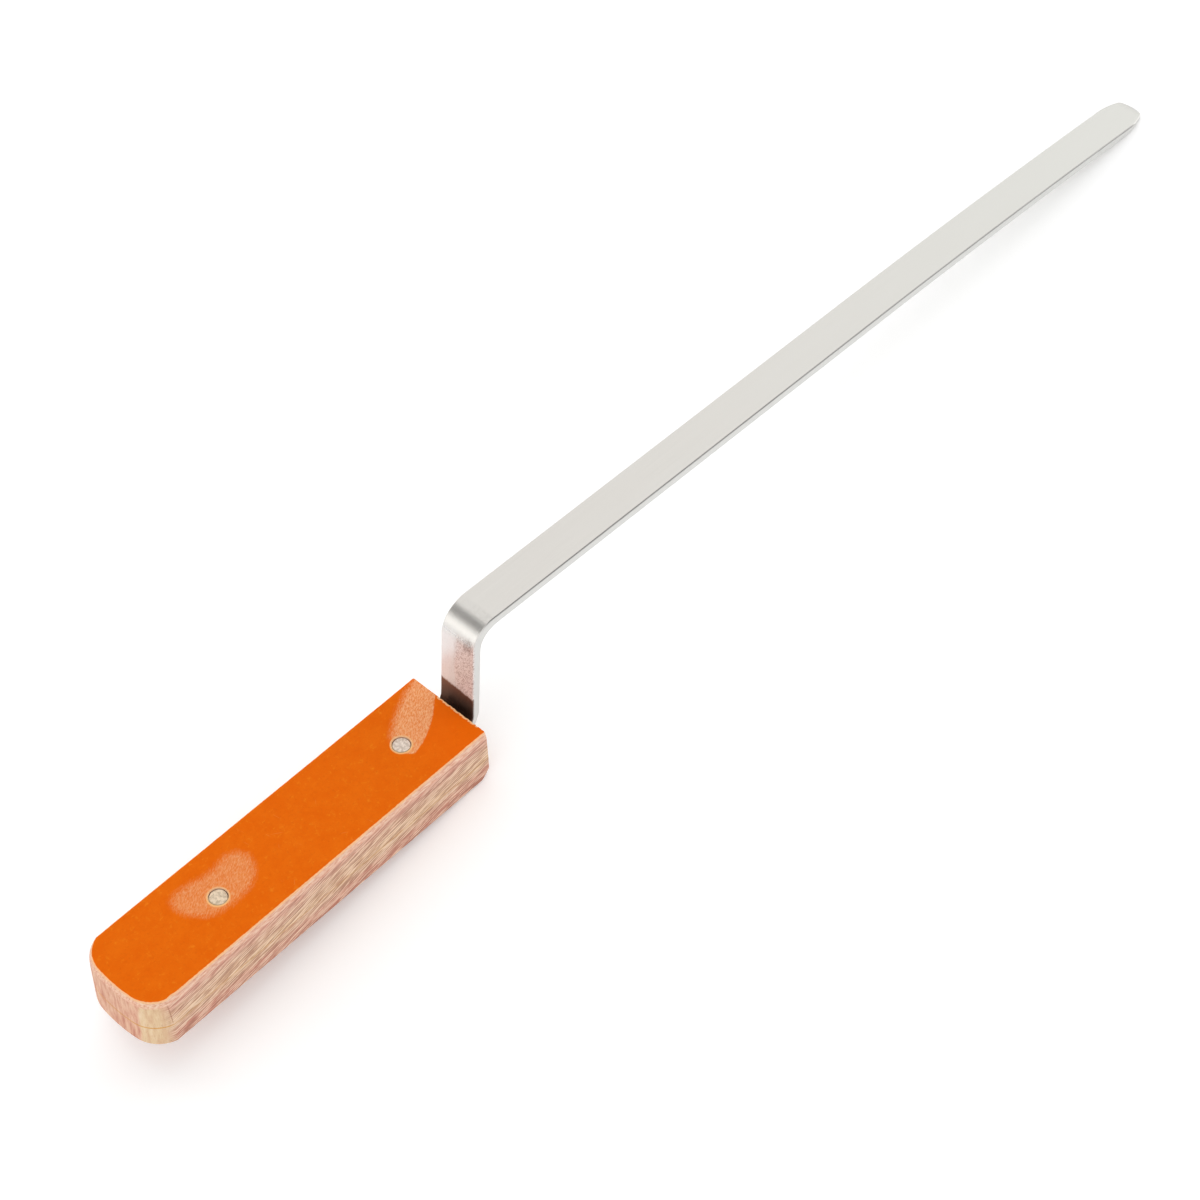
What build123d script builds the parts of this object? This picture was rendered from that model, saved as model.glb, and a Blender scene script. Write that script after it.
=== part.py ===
from build123d import *
import os
from math import asin, atan2, cos, degrees, hypot, radians, sin

# Cranked hive tool: a long flat steel blade that steps up out of a wooden handle.
# The handle is two wooden scales glued and pinned over the tang.
#
# Tool coordinates, used by every sketch: x runs along the handle towards the tip,
# x = 0 on the handle's front face; z is the height above the handle's underside.
# The tool is longer and heavier in front of the handle than behind it, so it rests
# on the handle's lower front edge and on the blade's tip, with the butt raised.
# The row frame is that resting pose: +X towards the tip, +Z up.

# ---- driving dimensions, mm ----
HANDLE_L = 128.6          # front face to the butt's furthest point, at the underside
HANDLE_W = 31.3           # at the underside
DRAFT = 0.45              # how far sides and butt lean in between the underside and the facet
LOWER_T = 8.0             # lower scale
BOND_T = 0.2              # glue between the scales
UPPER_T = 11.1            # upper scale, holds the tang's channel
CORNER_START = 120.9      # where the butt's rounded corners leave the sides
CORNER_MID = (125.4, 12.8)
CORNER_END = (128.2, 6.8)
FACET_TOP = 0.85          # sanded facet round the top edge: inset on the top face
FACET_SIDE = 1.85         # and its drop down the sides
BOTTOM_EDGE_R = 0.6
FRONT_EDGE_R = 0.5        # the front's two upright edges

BAR_W = 12.7              # flat bar stock
BAR_T = 3.0
BAR_EDGE_R = 0.3
BEND_R_IN = 5.8           # both bends are made round one former
TANG_END = 108.0          # tang's rear end behind the front face
TANG_BEND_X = -2.9        # the lower bend starts just inside the handle
RISER_ANGLE = 86.2        # riser's slope from the handle's axis
RISER_STRAIGHT = 26.7
BLADE_PITCH = 2.22        # blade's slope down towards the tip at the upper bend
BLADE_STRAIGHT = 162.2
BLADE_BOW_R = 2850.0      # slight downward bow of the blade's outer half
BLADE_BOW_ARC = 3.0       # degrees
TIP_T = 1.4               # thickness left at the end
TIP_BEVEL_L = 20.0        # ground underside
TIP_TAPER_L = 12.0        # length over which the sides curve in
TIP_HALF_W = 4.3
TIP_ROUND = 0.55          # how far the end edge bulges

PIN_D = 5.1
PIN_HOLE_D = 5.6
PIN_RECESS = 0.5          # pin ends lie below the wood
PIN_GLUE_RECESS = 0.75
PIN_RIM = 0.35            # bevel on each pin hole's mouth
PIN_FRONT = 19.2          # behind the front face
PIN_REAR = 89.4
PIN_EDGE = 0.2

MOUTH_L = 3.6             # relief over the lower bend at the channel's mouth
MOUTH_H = 1.15

HANDLE_T = LOWER_T + BOND_T + UPPER_T
TANG_Z = LOWER_T + BOND_T             # tang's underside
BEND_R_OUT = BEND_R_IN + BAR_T
BLADE_BOW_LEN = radians(BLADE_BOW_ARC) * BLADE_BOW_R


# ---- resting pose ----
def bar_end():
    """Underside corner at the blade's end, in tool x and z."""
    r = BEND_R_IN + BAR_T / 2
    a, p, q = radians(RISER_ANGLE), radians(BLADE_PITCH), radians(BLADE_PITCH + BLADE_BOW_ARC)
    x, z = TANG_BEND_X, TANG_Z + BAR_T / 2
    x, z = x + r * sin(a), z + r * (1 - cos(a))
    x, z = x + RISER_STRAIGHT * cos(a), z + RISER_STRAIGHT * sin(a)
    x, z = x + r * (sin(a) + sin(p)), z + r * (cos(p) - cos(a))
    x, z = x + BLADE_STRAIGHT * cos(p), z - BLADE_STRAIGHT * sin(p)
    x, z = x + BLADE_BOW_R * (sin(q) - sin(p)), z - BLADE_BOW_R * (cos(p) - cos(q))
    down = TIP_T - BAR_T / 2
    return x - down * sin(q), z - down * cos(q)


end_x, end_z = bar_end()
REST_PITCH = degrees(
    atan2(end_z - BOTTOM_EDGE_R, end_x + BOTTOM_EDGE_R)
    + asin(BOTTOM_EDGE_R / hypot(end_x + BOTTOM_EDGE_R, end_z - BOTTOM_EDGE_R))
)
CP, SP = cos(radians(REST_PITCH)), sin(radians(REST_PITCH))
ORIGIN_X = -99.468                    # puts the row origin under the middle of the length
ORIGIN_Z = BOTTOM_EDGE_R * (1 - CP - SP)


def tool_plane(x=0.0, z=0.0):
    """Plane parallel to the handle's underside, through tool (x, z)."""
    at = (ORIGIN_X + x * CP + z * SP, 0, ORIGIN_Z - x * SP + z * CP)
    return Plane(origin=at, x_dir=(CP, 0, -SP), z_dir=(SP, 0, CP))


def side_plane(y=0.0):
    """Upright plane through the tool's centreline; its axes are tool x and z."""
    return Plane(origin=(ORIGIN_X, y, ORIGIN_Z), x_dir=(CP, 0, -SP), z_dir=(0, -1, 0))


FRONT_FACE = Plane(origin=(ORIGIN_X, 0, ORIGIN_Z), x_dir=(0, 1, 0), z_dir=(CP, 0, -SP))

os.makedirs("parts", exist_ok=True)

# ---- steel blade: tang, riser and blade, bent from one length of flat bar ----
with BuildPart() as steel_blade:
    with BuildSketch(side_plane()) as bar_profile:
        with BuildLine() as bar_outline:
            upper = Line((-TANG_END, TANG_Z + BAR_T), (TANG_BEND_X, TANG_Z + BAR_T))
            tang_top = upper
            upper = JernArc(upper @ 1, upper % 1, BEND_R_IN, RISER_ANGLE)
            upper = Line(upper @ 1, upper @ 1 + (upper % 1) * RISER_STRAIGHT)
            upper = JernArc(upper @ 1, upper % 1, BEND_R_OUT, -(RISER_ANGLE + BLADE_PITCH))
            upper = Line(upper @ 1, upper @ 1 + (upper % 1) * BLADE_STRAIGHT)
            upper = JernArc(upper @ 1, upper % 1, BLADE_BOW_R + BAR_T / 2, -BLADE_BOW_ARC)
            ahead = upper % 1
            tip_face = Line(upper @ 1, upper @ 1 + Vector(ahead.Y, -ahead.X) * TIP_T)
            lower = Line((-TANG_END, TANG_Z), (TANG_BEND_X, TANG_Z))
            lower = JernArc(lower @ 1, lower % 1, BEND_R_OUT, RISER_ANGLE)
            lower = Line(lower @ 1, lower @ 1 + (lower % 1) * RISER_STRAIGHT)
            lower = JernArc(lower @ 1, lower % 1, BEND_R_IN, -(RISER_ANGLE + BLADE_PITCH))
            lower = Line(lower @ 1, lower @ 1 + (lower % 1) * BLADE_STRAIGHT)
            lower = JernArc(
                lower @ 1,
                lower % 1,
                BLADE_BOW_R - BAR_T / 2,
                -BLADE_BOW_ARC * (1 - TIP_BEVEL_L / BLADE_BOW_LEN),
            )
            bevel = Line(lower @ 1, tip_face @ 1)
            tang_back = Line((-TANG_END, TANG_Z), (-TANG_END, TANG_Z + BAR_T))
        make_face()
    extrude(amount=BAR_W / 2, both=True)
    # the bar's long edges are eased; the ends stay square
    flanks = steel_blade.faces().filter_by(Axis.Y)
    long_edges = [
        e
        for e in flanks.edges()
        if e.length > 3.5
    ]
    fillet(long_edges, BAR_EDGE_R)
    # end of the blade: sides curve in to a narrower, slightly bowed edge
    tip_x = end_x + 0.15
    with BuildSketch(tool_plane(z=-5)) as tip_plan:
        with BuildLine() as tip_outline:
            a = Line((-TANG_END - 5, -BAR_W), (-TANG_END - 5, BAR_W))
            b = Line(a @ 1, (tip_x - TIP_TAPER_L - 8, BAR_W))
            b2 = Line(b @ 1, (tip_x - TIP_TAPER_L, BAR_W / 2 + 0.001))
            c = ThreePointArc(
                b2 @ 1,
                (tip_x - TIP_TAPER_L * 0.42, BAR_W / 2 - 0.62),
                (tip_x - 1.1, TIP_HALF_W + 0.25),
            )
            d = ThreePointArc(c @ 1, (tip_x - 0.62, TIP_HALF_W - 0.22), (tip_x - 0.42, TIP_HALF_W - 1.0))
            e = ThreePointArc(d @ 1, (tip_x, 0), (tip_x - 0.42, -TIP_HALF_W + 1.0))
            f = ThreePointArc(e @ 1, (tip_x - 0.62, -TIP_HALF_W + 0.22), (tip_x - 1.1, -TIP_HALF_W - 0.25))
            g = ThreePointArc(
                f @ 1,
                (tip_x - TIP_TAPER_L * 0.42, -BAR_W / 2 + 0.62),
                (tip_x - TIP_TAPER_L, -BAR_W / 2 - 0.001),
            )
            h = Line(g @ 1, (tip_x - TIP_TAPER_L - 8, -BAR_W))
            i = Line(h @ 1, a @ 0)
        make_face()
    extrude(amount=80, mode=Mode.INTERSECT)
    # holes that the two pins pass through
    with BuildSketch(tool_plane(z=TANG_Z - 1)) as tang_holes:
        with Locations((-PIN_FRONT, 0), (-PIN_REAR, 0)):
            Circle(PIN_HOLE_D / 2)
    extrude(amount=BAR_T + 2, mode=Mode.SUBTRACT)
steel_blade.part.label = "steel_blade"
export_step(steel_blade.part, "parts/steel_blade.step")

# ---- the handle's plan outline, shared by both scales and the glue between them ----
with BuildSketch() as handle_plan:
    with BuildLine() as handle_outline:
        front = Line((0, -HANDLE_W / 2), (0, HANDLE_W / 2))
        left = Line(front @ 1, (-CORNER_START, HANDLE_W / 2))
        left_corner = ThreePointArc(
            left @ 1, (-CORNER_MID[0], CORNER_MID[1]), (-CORNER_END[0], CORNER_END[1])
        )
        butt = ThreePointArc(
            left_corner @ 1, (-HANDLE_L, 0), (-CORNER_END[0], -CORNER_END[1])
        )
        right_corner = ThreePointArc(
            butt @ 1, (-CORNER_MID[0], -CORNER_MID[1]), (-CORNER_START, -HANDLE_W / 2)
        )
        right = Line(right_corner @ 1, front @ 0)
    make_face()

# the same outline before the front is sawn off square
with BuildSketch() as long_plan:
    add(handle_plan.sketch)
    with Locations((2.5, 0)):
        Rectangle(5, HANDLE_W)

# ---- the handle's outer shape: leaning sides, a facet round the top, a square front ----
with BuildPart() as handle_shape:
    with BuildSketch(tool_plane()):
        add(long_plan.sketch)
    extrude(amount=HANDLE_T - FACET_SIDE, taper=degrees(atan2(DRAFT, HANDLE_T - FACET_SIDE)))
    # every top edge but the front one is sanded to a steep facet
    shoulder = handle_shape.faces().sort_by(lambda f: tool_plane().to_local_coords(f.center()).Z)[-1]
    extrude(shoulder, amount=FACET_SIDE, taper=degrees(atan2(FACET_TOP, FACET_SIDE)))
    split(bisect_by=FRONT_FACE, keep=Keep.BOTTOM)
    # the front's upright edges, up and over the facet
    fillet(
        handle_shape.edges().filter_by(
            lambda e: abs(tool_plane().to_local_coords(e @ 0.5).X) < 0.01
            and abs((e @ 0.5).Y) > HANDLE_W / 2 - DRAFT - FACET_TOP - 0.01
            and e.length > 1.0
            and e.length < HANDLE_T
        ),
        FRONT_EDGE_R,
    )

# ---- lower scale ----
with BuildPart() as lower_scale:
    add(handle_shape.part)
    split(bisect_by=tool_plane(z=LOWER_T), keep=Keep.BOTTOM)
    base = lower_scale.faces().sort_by(lambda f: tool_plane().to_local_coords(f.center()).Z)[0]
    fillet(base.edges(), BOTTOM_EDGE_R)
    with BuildSketch(tool_plane(z=-1)):
        with Locations((-PIN_FRONT, 0), (-PIN_REAR, 0)):
            Circle(PIN_HOLE_D / 2)
    extrude(amount=LOWER_T + 2, mode=Mode.SUBTRACT)
    rims = lower_scale.edges().filter_by(GeomType.CIRCLE).filter_by(
        lambda e: abs(e.radius - PIN_HOLE_D / 2) < 1e-3
        and tool_plane().to_local_coords(e.arc_center).Z < 0.1
    )
    chamfer(rims, PIN_RIM)
lower_scale.part.label = "lower_scale"
export_step(lower_scale.part, "parts/lower_scale.step")

# ---- glue line between the scales, seen all round the handle's sides ----
with BuildPart() as bond_line:
    add(handle_shape.part)
    split(bisect_by=tool_plane(z=LOWER_T), keep=Keep.TOP)
    split(bisect_by=tool_plane(z=TANG_Z), keep=Keep.BOTTOM)
    with BuildSketch(tool_plane(z=LOWER_T - 1)):
        with Locations((-PIN_FRONT, 0), (-PIN_REAR, 0)):
            Circle(PIN_HOLE_D / 2)
    extrude(amount=BOND_T + 2, mode=Mode.SUBTRACT)
bond_line.part.label = "bond_line"
export_step(bond_line.part, "parts/bond_line.step")

# ---- upper scale, with the channel for the tang in its underside ----
with BuildPart() as upper_scale:
    add(handle_shape.part)
    split(bisect_by=tool_plane(z=TANG_Z), keep=Keep.TOP)
    with BuildSketch(side_plane()):
        with BuildLine():
            Polyline(
                (1, TANG_Z - 1),
                (1, TANG_Z + BAR_T + MOUTH_H * (MOUTH_L + 1) / MOUTH_L),
                (-MOUTH_L, TANG_Z + BAR_T),
                (-TANG_END - 0.5, TANG_Z + BAR_T),
                (-TANG_END - 0.5, TANG_Z - 1),
                close=True,
            )
        make_face()
    extrude(amount=BAR_W / 2, both=True, mode=Mode.SUBTRACT)
    with BuildSketch(tool_plane(z=TANG_Z - 1)):
        with Locations((-PIN_FRONT, 0), (-PIN_REAR, 0)):
            Circle(PIN_HOLE_D / 2)
    extrude(amount=UPPER_T + 2, mode=Mode.SUBTRACT)
    rims = upper_scale.edges().filter_by(GeomType.CIRCLE).filter_by(
        lambda e: abs(e.radius - PIN_HOLE_D / 2) < 1e-3
        and tool_plane().to_local_coords(e.arc_center).Z > HANDLE_T - 0.1
    )
    chamfer(rims, PIN_RIM)
upper_scale.part.label = "upper_scale"
export_step(upper_scale.part, "parts/upper_scale.step")

# ---- the two pins through the scales and the tang ----
with BuildPart() as front_pin:
    with BuildSketch(tool_plane(x=-PIN_FRONT, z=PIN_RECESS)):
        Circle(PIN_D / 2)
    extrude(amount=HANDLE_T - 2 * PIN_RECESS)
    chamfer(front_pin.edges().filter_by(GeomType.CIRCLE), PIN_EDGE)
front_pin.part.label = "front_pin"
export_step(front_pin.part, "parts/front_pin.step")

with BuildPart() as rear_pin:
    with BuildSketch(tool_plane(x=-PIN_REAR, z=PIN_RECESS)):
        Circle(PIN_D / 2)
    extrude(amount=HANDLE_T - 2 * PIN_RECESS)
    chamfer(rear_pin.edges().filter_by(GeomType.CIRCLE), PIN_EDGE)
rear_pin.part.label = "rear_pin"
export_step(rear_pin.part, "parts/rear_pin.step")

# ---- adhesive that fills the gap round each pin ----
with BuildPart() as front_pin_glue:
    with BuildSketch(tool_plane(x=-PIN_FRONT, z=PIN_GLUE_RECESS)):
        Circle(PIN_HOLE_D / 2)
        Circle(PIN_D / 2, mode=Mode.SUBTRACT)
    extrude(amount=HANDLE_T - 2 * PIN_GLUE_RECESS)
front_pin_glue.part.label = "front_pin_glue"
export_step(front_pin_glue.part, "parts/front_pin_glue.step")

with BuildPart() as rear_pin_glue:
    with BuildSketch(tool_plane(x=-PIN_REAR, z=PIN_GLUE_RECESS)):
        Circle(PIN_HOLE_D / 2)
        Circle(PIN_D / 2, mode=Mode.SUBTRACT)
    extrude(amount=HANDLE_T - 2 * PIN_GLUE_RECESS)
rear_pin_glue.part.label = "rear_pin_glue"
export_step(rear_pin_glue.part, "parts/rear_pin_glue.step")

pieces = [steel_blade, upper_scale, lower_scale, bond_line, front_pin, rear_pin, front_pin_glue, rear_pin_glue]
whole = Compound([p.part for p in pieces]).bounding_box()
print("rest pitch", round(REST_PITCH, 4), "tip", round(end_x, 3), round(end_z, 3))
print("box", whole.min, whole.max, "middle x", round((whole.min.X + whole.max.X) / 2, 4))
for p in pieces:
    print(p.part.label, round(p.part.volume, 1), p.part.is_valid)
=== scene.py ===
import math

import bmesh
import bpy
import numpy as np
from mathutils import Matrix, Vector, noise
from mathutils.geometry import delaunay_2d_cdt

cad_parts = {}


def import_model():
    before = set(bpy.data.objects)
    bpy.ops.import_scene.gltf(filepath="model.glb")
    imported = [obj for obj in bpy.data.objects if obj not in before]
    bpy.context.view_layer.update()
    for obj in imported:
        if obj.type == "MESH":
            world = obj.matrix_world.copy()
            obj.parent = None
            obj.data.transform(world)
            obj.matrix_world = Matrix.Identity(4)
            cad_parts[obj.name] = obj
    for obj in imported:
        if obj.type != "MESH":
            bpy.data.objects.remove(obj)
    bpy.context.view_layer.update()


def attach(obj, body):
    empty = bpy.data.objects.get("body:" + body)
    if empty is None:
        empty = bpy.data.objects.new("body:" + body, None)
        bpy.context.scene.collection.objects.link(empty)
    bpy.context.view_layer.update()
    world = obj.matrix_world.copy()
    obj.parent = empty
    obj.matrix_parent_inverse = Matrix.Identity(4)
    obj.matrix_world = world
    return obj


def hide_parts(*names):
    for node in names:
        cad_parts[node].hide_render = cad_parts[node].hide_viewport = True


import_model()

# ------------------------------------------------------------------ sizes, mm
# Tool coordinates: x along the handle towards the tip with 0 on the handle's front
# face, z the height above the handle's underside, y across.
HANDLE_HW, DRAFT, SHOULDER_Z = 15.65, 0.45, 17.45
LOWER_T, BOND_T, HANDLE_T = 8.0, 0.2, 19.3
BAR_HW, BAR_T = 6.35, 3.0
BEND_R = 7.3
PINS = (-19.2, -89.4)
PIN_R, HOLE_R = 2.55, 2.8
TIP_T, TIP_BEVEL_L = 1.4, 20.0


class Path:
    """Centreline of the bent bar in tool x and z, measured by length s from the tang's rear end."""

    def __init__(self):
        self.parts = []
        self.x, self.z, self.a, self.s = -108.0, LOWER_T + BOND_T + BAR_T / 2, 0.0, 0.0
        self.add(105.1)
        self.add(BEND_R * math.radians(86.2), BEND_R, 1)
        self.add(26.7)
        self.add(BEND_R * math.radians(88.42), BEND_R, -1)
        self.add(162.2)
        self.add(2850.0 * math.radians(3.0), 2850.0, -1)
        self.length = self.s

    def add(self, length, r=0.0, turn=0):
        self.parts.append((self.s, length, self.x, self.z, self.a, r, turn))
        self.x, self.z, self.a = self.at(self.s + length)
        self.s += length

    def at(self, s):
        for s0, length, x0, z0, a0, r, turn in self.parts:
            if s <= s0 + length + 1e-9:
                break
        t = s - s0
        if not turn:
            return x0 + t * math.cos(a0), z0 + t * math.sin(a0), a0
        a = a0 + turn * t / r
        return (
            x0 + r * turn * (math.sin(a) - math.sin(a0)),
            z0 - r * turn * (math.cos(a) - math.cos(a0)),
            a,
        )

    def locate(self, x, z):
        """For arrays x, z: the length s along the bar and the height h above its centreline."""
        best = np.full(x.shape, 1e9)
        s_out, h_out = np.zeros_like(x), np.zeros_like(x)
        for s0, length, x0, z0, a0, r, turn in self.parts:
            ca, sa = math.cos(a0), math.sin(a0)
            if not turn:
                t = (x - x0) * ca + (z - z0) * sa
                h = -(x - x0) * sa + (z - z0) * ca
            else:
                cx, cz = x0 - turn * r * sa, z0 + turn * r * ca
                vx, vz = x - cx, z - cz
                rad = np.hypot(vx, vz)
                a = np.arctan2(vx, -vz) if turn > 0 else np.arctan2(-vx, vz)
                h = (r - rad) if turn > 0 else (rad - r)
                t = turn * (a - a0) * r
            over = np.maximum(np.maximum(-t, t - length), 0)
            far = over + np.abs(h) * 0.5
            take = far < best
            best = np.where(take, far, best)
            s_out = np.where(take, s0 + np.clip(t, -5, length + 5), s_out)
            h_out = np.where(take, h, h_out)
        return s_out, h_out


PATH = Path()
S_BEND1 = 105.1
S_RISER = PATH.parts[2][0]
S_BEND2 = PATH.parts[3][0]
S_BLADE = PATH.parts[4][0]
S_END = PATH.length
END_X, END_ZC, END_A = PATH.at(S_END)
TIP_X = END_X + 0.15 + (TIP_T - BAR_T / 2) * math.sin(-END_A) * 0

# ------------------------------------------------------------------ resting pose
_down = TIP_T - BAR_T / 2
_q = -END_A
_ex, _ez = END_X - _down * math.sin(_q), END_ZC - _down * math.cos(_q)
PITCH = math.atan2(_ez - 0.6, _ex + 0.6) + math.asin(0.6 / math.hypot(_ex + 0.6, _ez - 0.6))
CP, SP = math.cos(PITCH), math.sin(PITCH)
OX, OZ = -99.468, 0.6 * (1 - CP - SP)


def world(p):
    """Tool coordinates, mm, to the row frame, metres."""
    p = np.asarray(p, float)
    return np.stack(
        [
            (OX + p[..., 0] * CP + p[..., 2] * SP) * 0.001,
            p[..., 1] * 0.001,
            (OZ - p[..., 0] * SP + p[..., 2] * CP) * 0.001,
        ],
        -1,
    )


def turned(v):
    return Vector((v[0] * CP + v[2] * SP, v[1], -v[0] * SP + v[2] * CP))


def smooth(x, lo, hi):
    t = min(max((x - lo) / (hi - lo), 0.0), 1.0)
    return t * t * (3 - 2 * t)


def bumpy(x, y, z, seed=0.0):
    return noise.noise(Vector((x + seed * 17.3, y - seed * 5.1, z + seed * 9.7)))


# ------------------------------------------------------------------ mesh helpers
def mesh_object(name, verts, faces, mats=None):
    """A mesh in tool millimetres, before it is cut and placed."""
    me = bpy.data.meshes.new(name)
    me.from_pydata([tuple(v) for v in verts], [], faces)
    if mats is not None:
        me.materials.append(wood)
        me.materials.append(coat)
        me.polygons.foreach_set("material_index", mats)
    bm = bmesh.new()
    bm.from_mesh(me)
    bmesh.ops.recalc_face_normals(bm, faces=bm.faces)
    bm.to_mesh(me)
    bm.free()
    me.update()
    o = bpy.data.objects.new(name, me)
    bpy.context.scene.collection.objects.link(o)
    return o


def cut(obj, *cutters):
    for c in cutters:
        m = obj.modifiers.new("cut", "BOOLEAN")
        m.operation = "DIFFERENCE"
        m.solver = "EXACT"
        m.object = c
        bpy.context.view_layer.update()
        new = bpy.data.meshes.new_from_object(obj.evaluated_get(bpy.context.evaluated_depsgraph_get()))
        obj.modifiers.clear()
        old, obj.data = obj.data, new
        bpy.data.meshes.remove(old)
        me = c.data
        bpy.data.objects.remove(c)
        bpy.data.meshes.remove(me)
    bm = bmesh.new()
    bm.from_mesh(obj.data)
    bmesh.ops.remove_doubles(bm, verts=bm.verts, dist=0.0005)
    bmesh.ops.dissolve_degenerate(bm, edges=bm.edges, dist=0.0005)
    loose = [v for v in bm.verts if not v.link_faces]
    bmesh.ops.delete(bm, geom=loose, context="VERTS")
    bm.to_mesh(obj.data)
    bm.free()


def place(obj, name, materials, node, sharp=30, extra=None):
    """Moves the finished mesh from tool millimetres into the row frame and hands it to the frame."""
    me = obj.data
    obj.name = name
    me.name = name
    n = len(me.vertices)
    co = np.empty(n * 3)
    me.vertices.foreach_get("co", co)
    co = co.reshape(-1, 3)
    att = me.attributes.new("tool", "FLOAT_VECTOR", "POINT")
    att.data.foreach_set("vector", co.astype(np.float32).ravel())
    for key, values in (extra(co) if extra else {}).items():
        if values.ndim == 2:
            a = me.attributes.new(key, "FLOAT_VECTOR", "POINT")
            a.data.foreach_set("vector", values.astype(np.float32).ravel())
        else:
            a = me.attributes.new(key, "FLOAT", "POINT")
            a.data.foreach_set("value", values.astype(np.float32))
    me.vertices.foreach_set("co", world(co).ravel())
    me.update()
    me.polygons.foreach_set("use_smooth", [True] * len(me.polygons))
    me.set_sharp_from_angle(angle=math.radians(sharp))
    index = [p.material_index for p in me.polygons]
    me.materials.clear()
    for m in materials:
        me.materials.append(m)
    me.polygons.foreach_set("material_index", [min(i, len(materials) - 1) for i in index])
    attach(obj, "root")
    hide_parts(node)
    return obj


def revolve(name, profile, cx, segs=96, closed=True, wob=None):
    """Solid of revolution about the upright axis through (cx, 0). A profile that starts and ends on the axis is capped there."""
    verts, faces = [], []
    rings = []
    for r, z in profile:
        if r < 1e-6:
            rings.append([len(verts)])
            verts.append((cx, 0, z))
        else:
            ids = []
            for k in range(segs):
                t = 2 * math.pi * k / segs
                dr, dz = wob(r, z, t) if wob else (0.0, 0.0)
                ids.append(len(verts))
                verts.append((cx + (r + dr) * math.cos(t), (r + dr) * math.sin(t), z + dz))
            rings.append(ids)
    pairs = list(zip(rings, rings[1:]))
    if not closed:
        pairs.append((rings[-1], rings[0]))
    for a, b in pairs:
        for k in range(segs):
            j = (k + 1) % segs
            if len(a) == 1 and len(b) == 1:
                continue
            if len(a) == 1:
                faces.append((a[0], b[j], b[k]))
            elif len(b) == 1:
                faces.append((a[k], a[j], b[0]))
            else:
                faces.append((a[k], a[j], b[j], b[k]))
    return mesh_object(name, verts, faces)


# ------------------------------------------------------------------ the bent steel bar
def section(hw, th, r, inset=0.0):
    """Rounded rectangle round the bar: rows of (y, h) along the top, one side, the bottom and the other side."""
    hw, top, bot = hw - inset, BAR_T / 2 - inset, BAR_T / 2 - th + inset
    r = max(0.06, min(r - inset, (top - bot) / 2 - 0.05, hw - 0.1))
    sup = 0.12

    def arc(cy, ch, a0, a1, n):
        return [
            (cy + r * math.cos(math.radians(a0 + (a1 - a0) * k / n)), ch + r * math.sin(math.radians(a0 + (a1 - a0) * k / n)))
            for k in range(n)
        ]

    ly, rh = hw - r, (top - bot) / 2 - r
    mid = (top + bot) / 2
    s_y, s_h = min(sup, ly * 0.4), min(sup, rh * 0.4)
    rows = []
    # top, from +y to -y
    ys = [ly - s_y + (2 * (s_y - ly)) * k / 12 for k in range(13)]
    rows.append(arc(ly, top - r, 45, 90, 3) + [(ly, top)] + [(y, top) for y in ys] + [(-ly, top)] + arc(-ly, top - r, 90, 135, 3)[1:])
    hs = [mid + rh - s_h + (2 * (s_h - rh)) * k / 4 for k in range(5)]
    rows.append(arc(-ly, top - r, 135, 180, 3) + [(-hw, mid + rh)] + [(-hw, h) for h in hs] + [(-hw, mid - rh)] + arc(-ly, bot + r, 180, 225, 3)[1:])
    rows.append(arc(-ly, bot + r, 225, 270, 3) + [(-ly, bot)] + [(-y, bot) for y in ys] + [(ly, bot)] + arc(ly, bot + r, 270, 315, 3)[1:])
    rows.append(arc(ly, bot + r, 315, 360, 3) + [(hw, mid - rh)] + [(hw, -h + 2 * mid) for h in hs] + [(hw, mid + rh)] + arc(ly, top - r, 0, 45, 3)[1:])
    return rows


def circle3(p, q, s):
    ax, ay, bx, by, cx, cy = *p, *q, *s
    d = 2 * (ax * (by - cy) + bx * (cy - ay) + cx * (ay - by))
    ux = ((ax * ax + ay * ay) * (by - cy) + (bx * bx + by * by) * (cy - ay) + (cx * cx + cy * cy) * (ay - by)) / d
    uy = ((ax * ax + ay * ay) * (cx - bx) + (bx * bx + by * by) * (ax - cx) + (cx * cx + cy * cy) * (bx - ax)) / d
    return ux, uy, math.hypot(ax - ux, ay - uy)


_side_c = circle3((-12, 6.35), (-5.04, 5.73), (-1.1, 4.55))
_corner_c = circle3((-1.1, 4.55), (-0.62, 4.08), (-0.42, 3.3))


def tip_half_width(dt):
    """Half the blade's width at dt mm before its furthest point."""
    if dt >= 12:
        return BAR_HW
    cx, cy, r = _side_c if dt > 1.1 else _corner_c
    return cy + math.sqrt(max(r * r - (-max(dt, 0.42) - cx) ** 2, 0.0))


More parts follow.
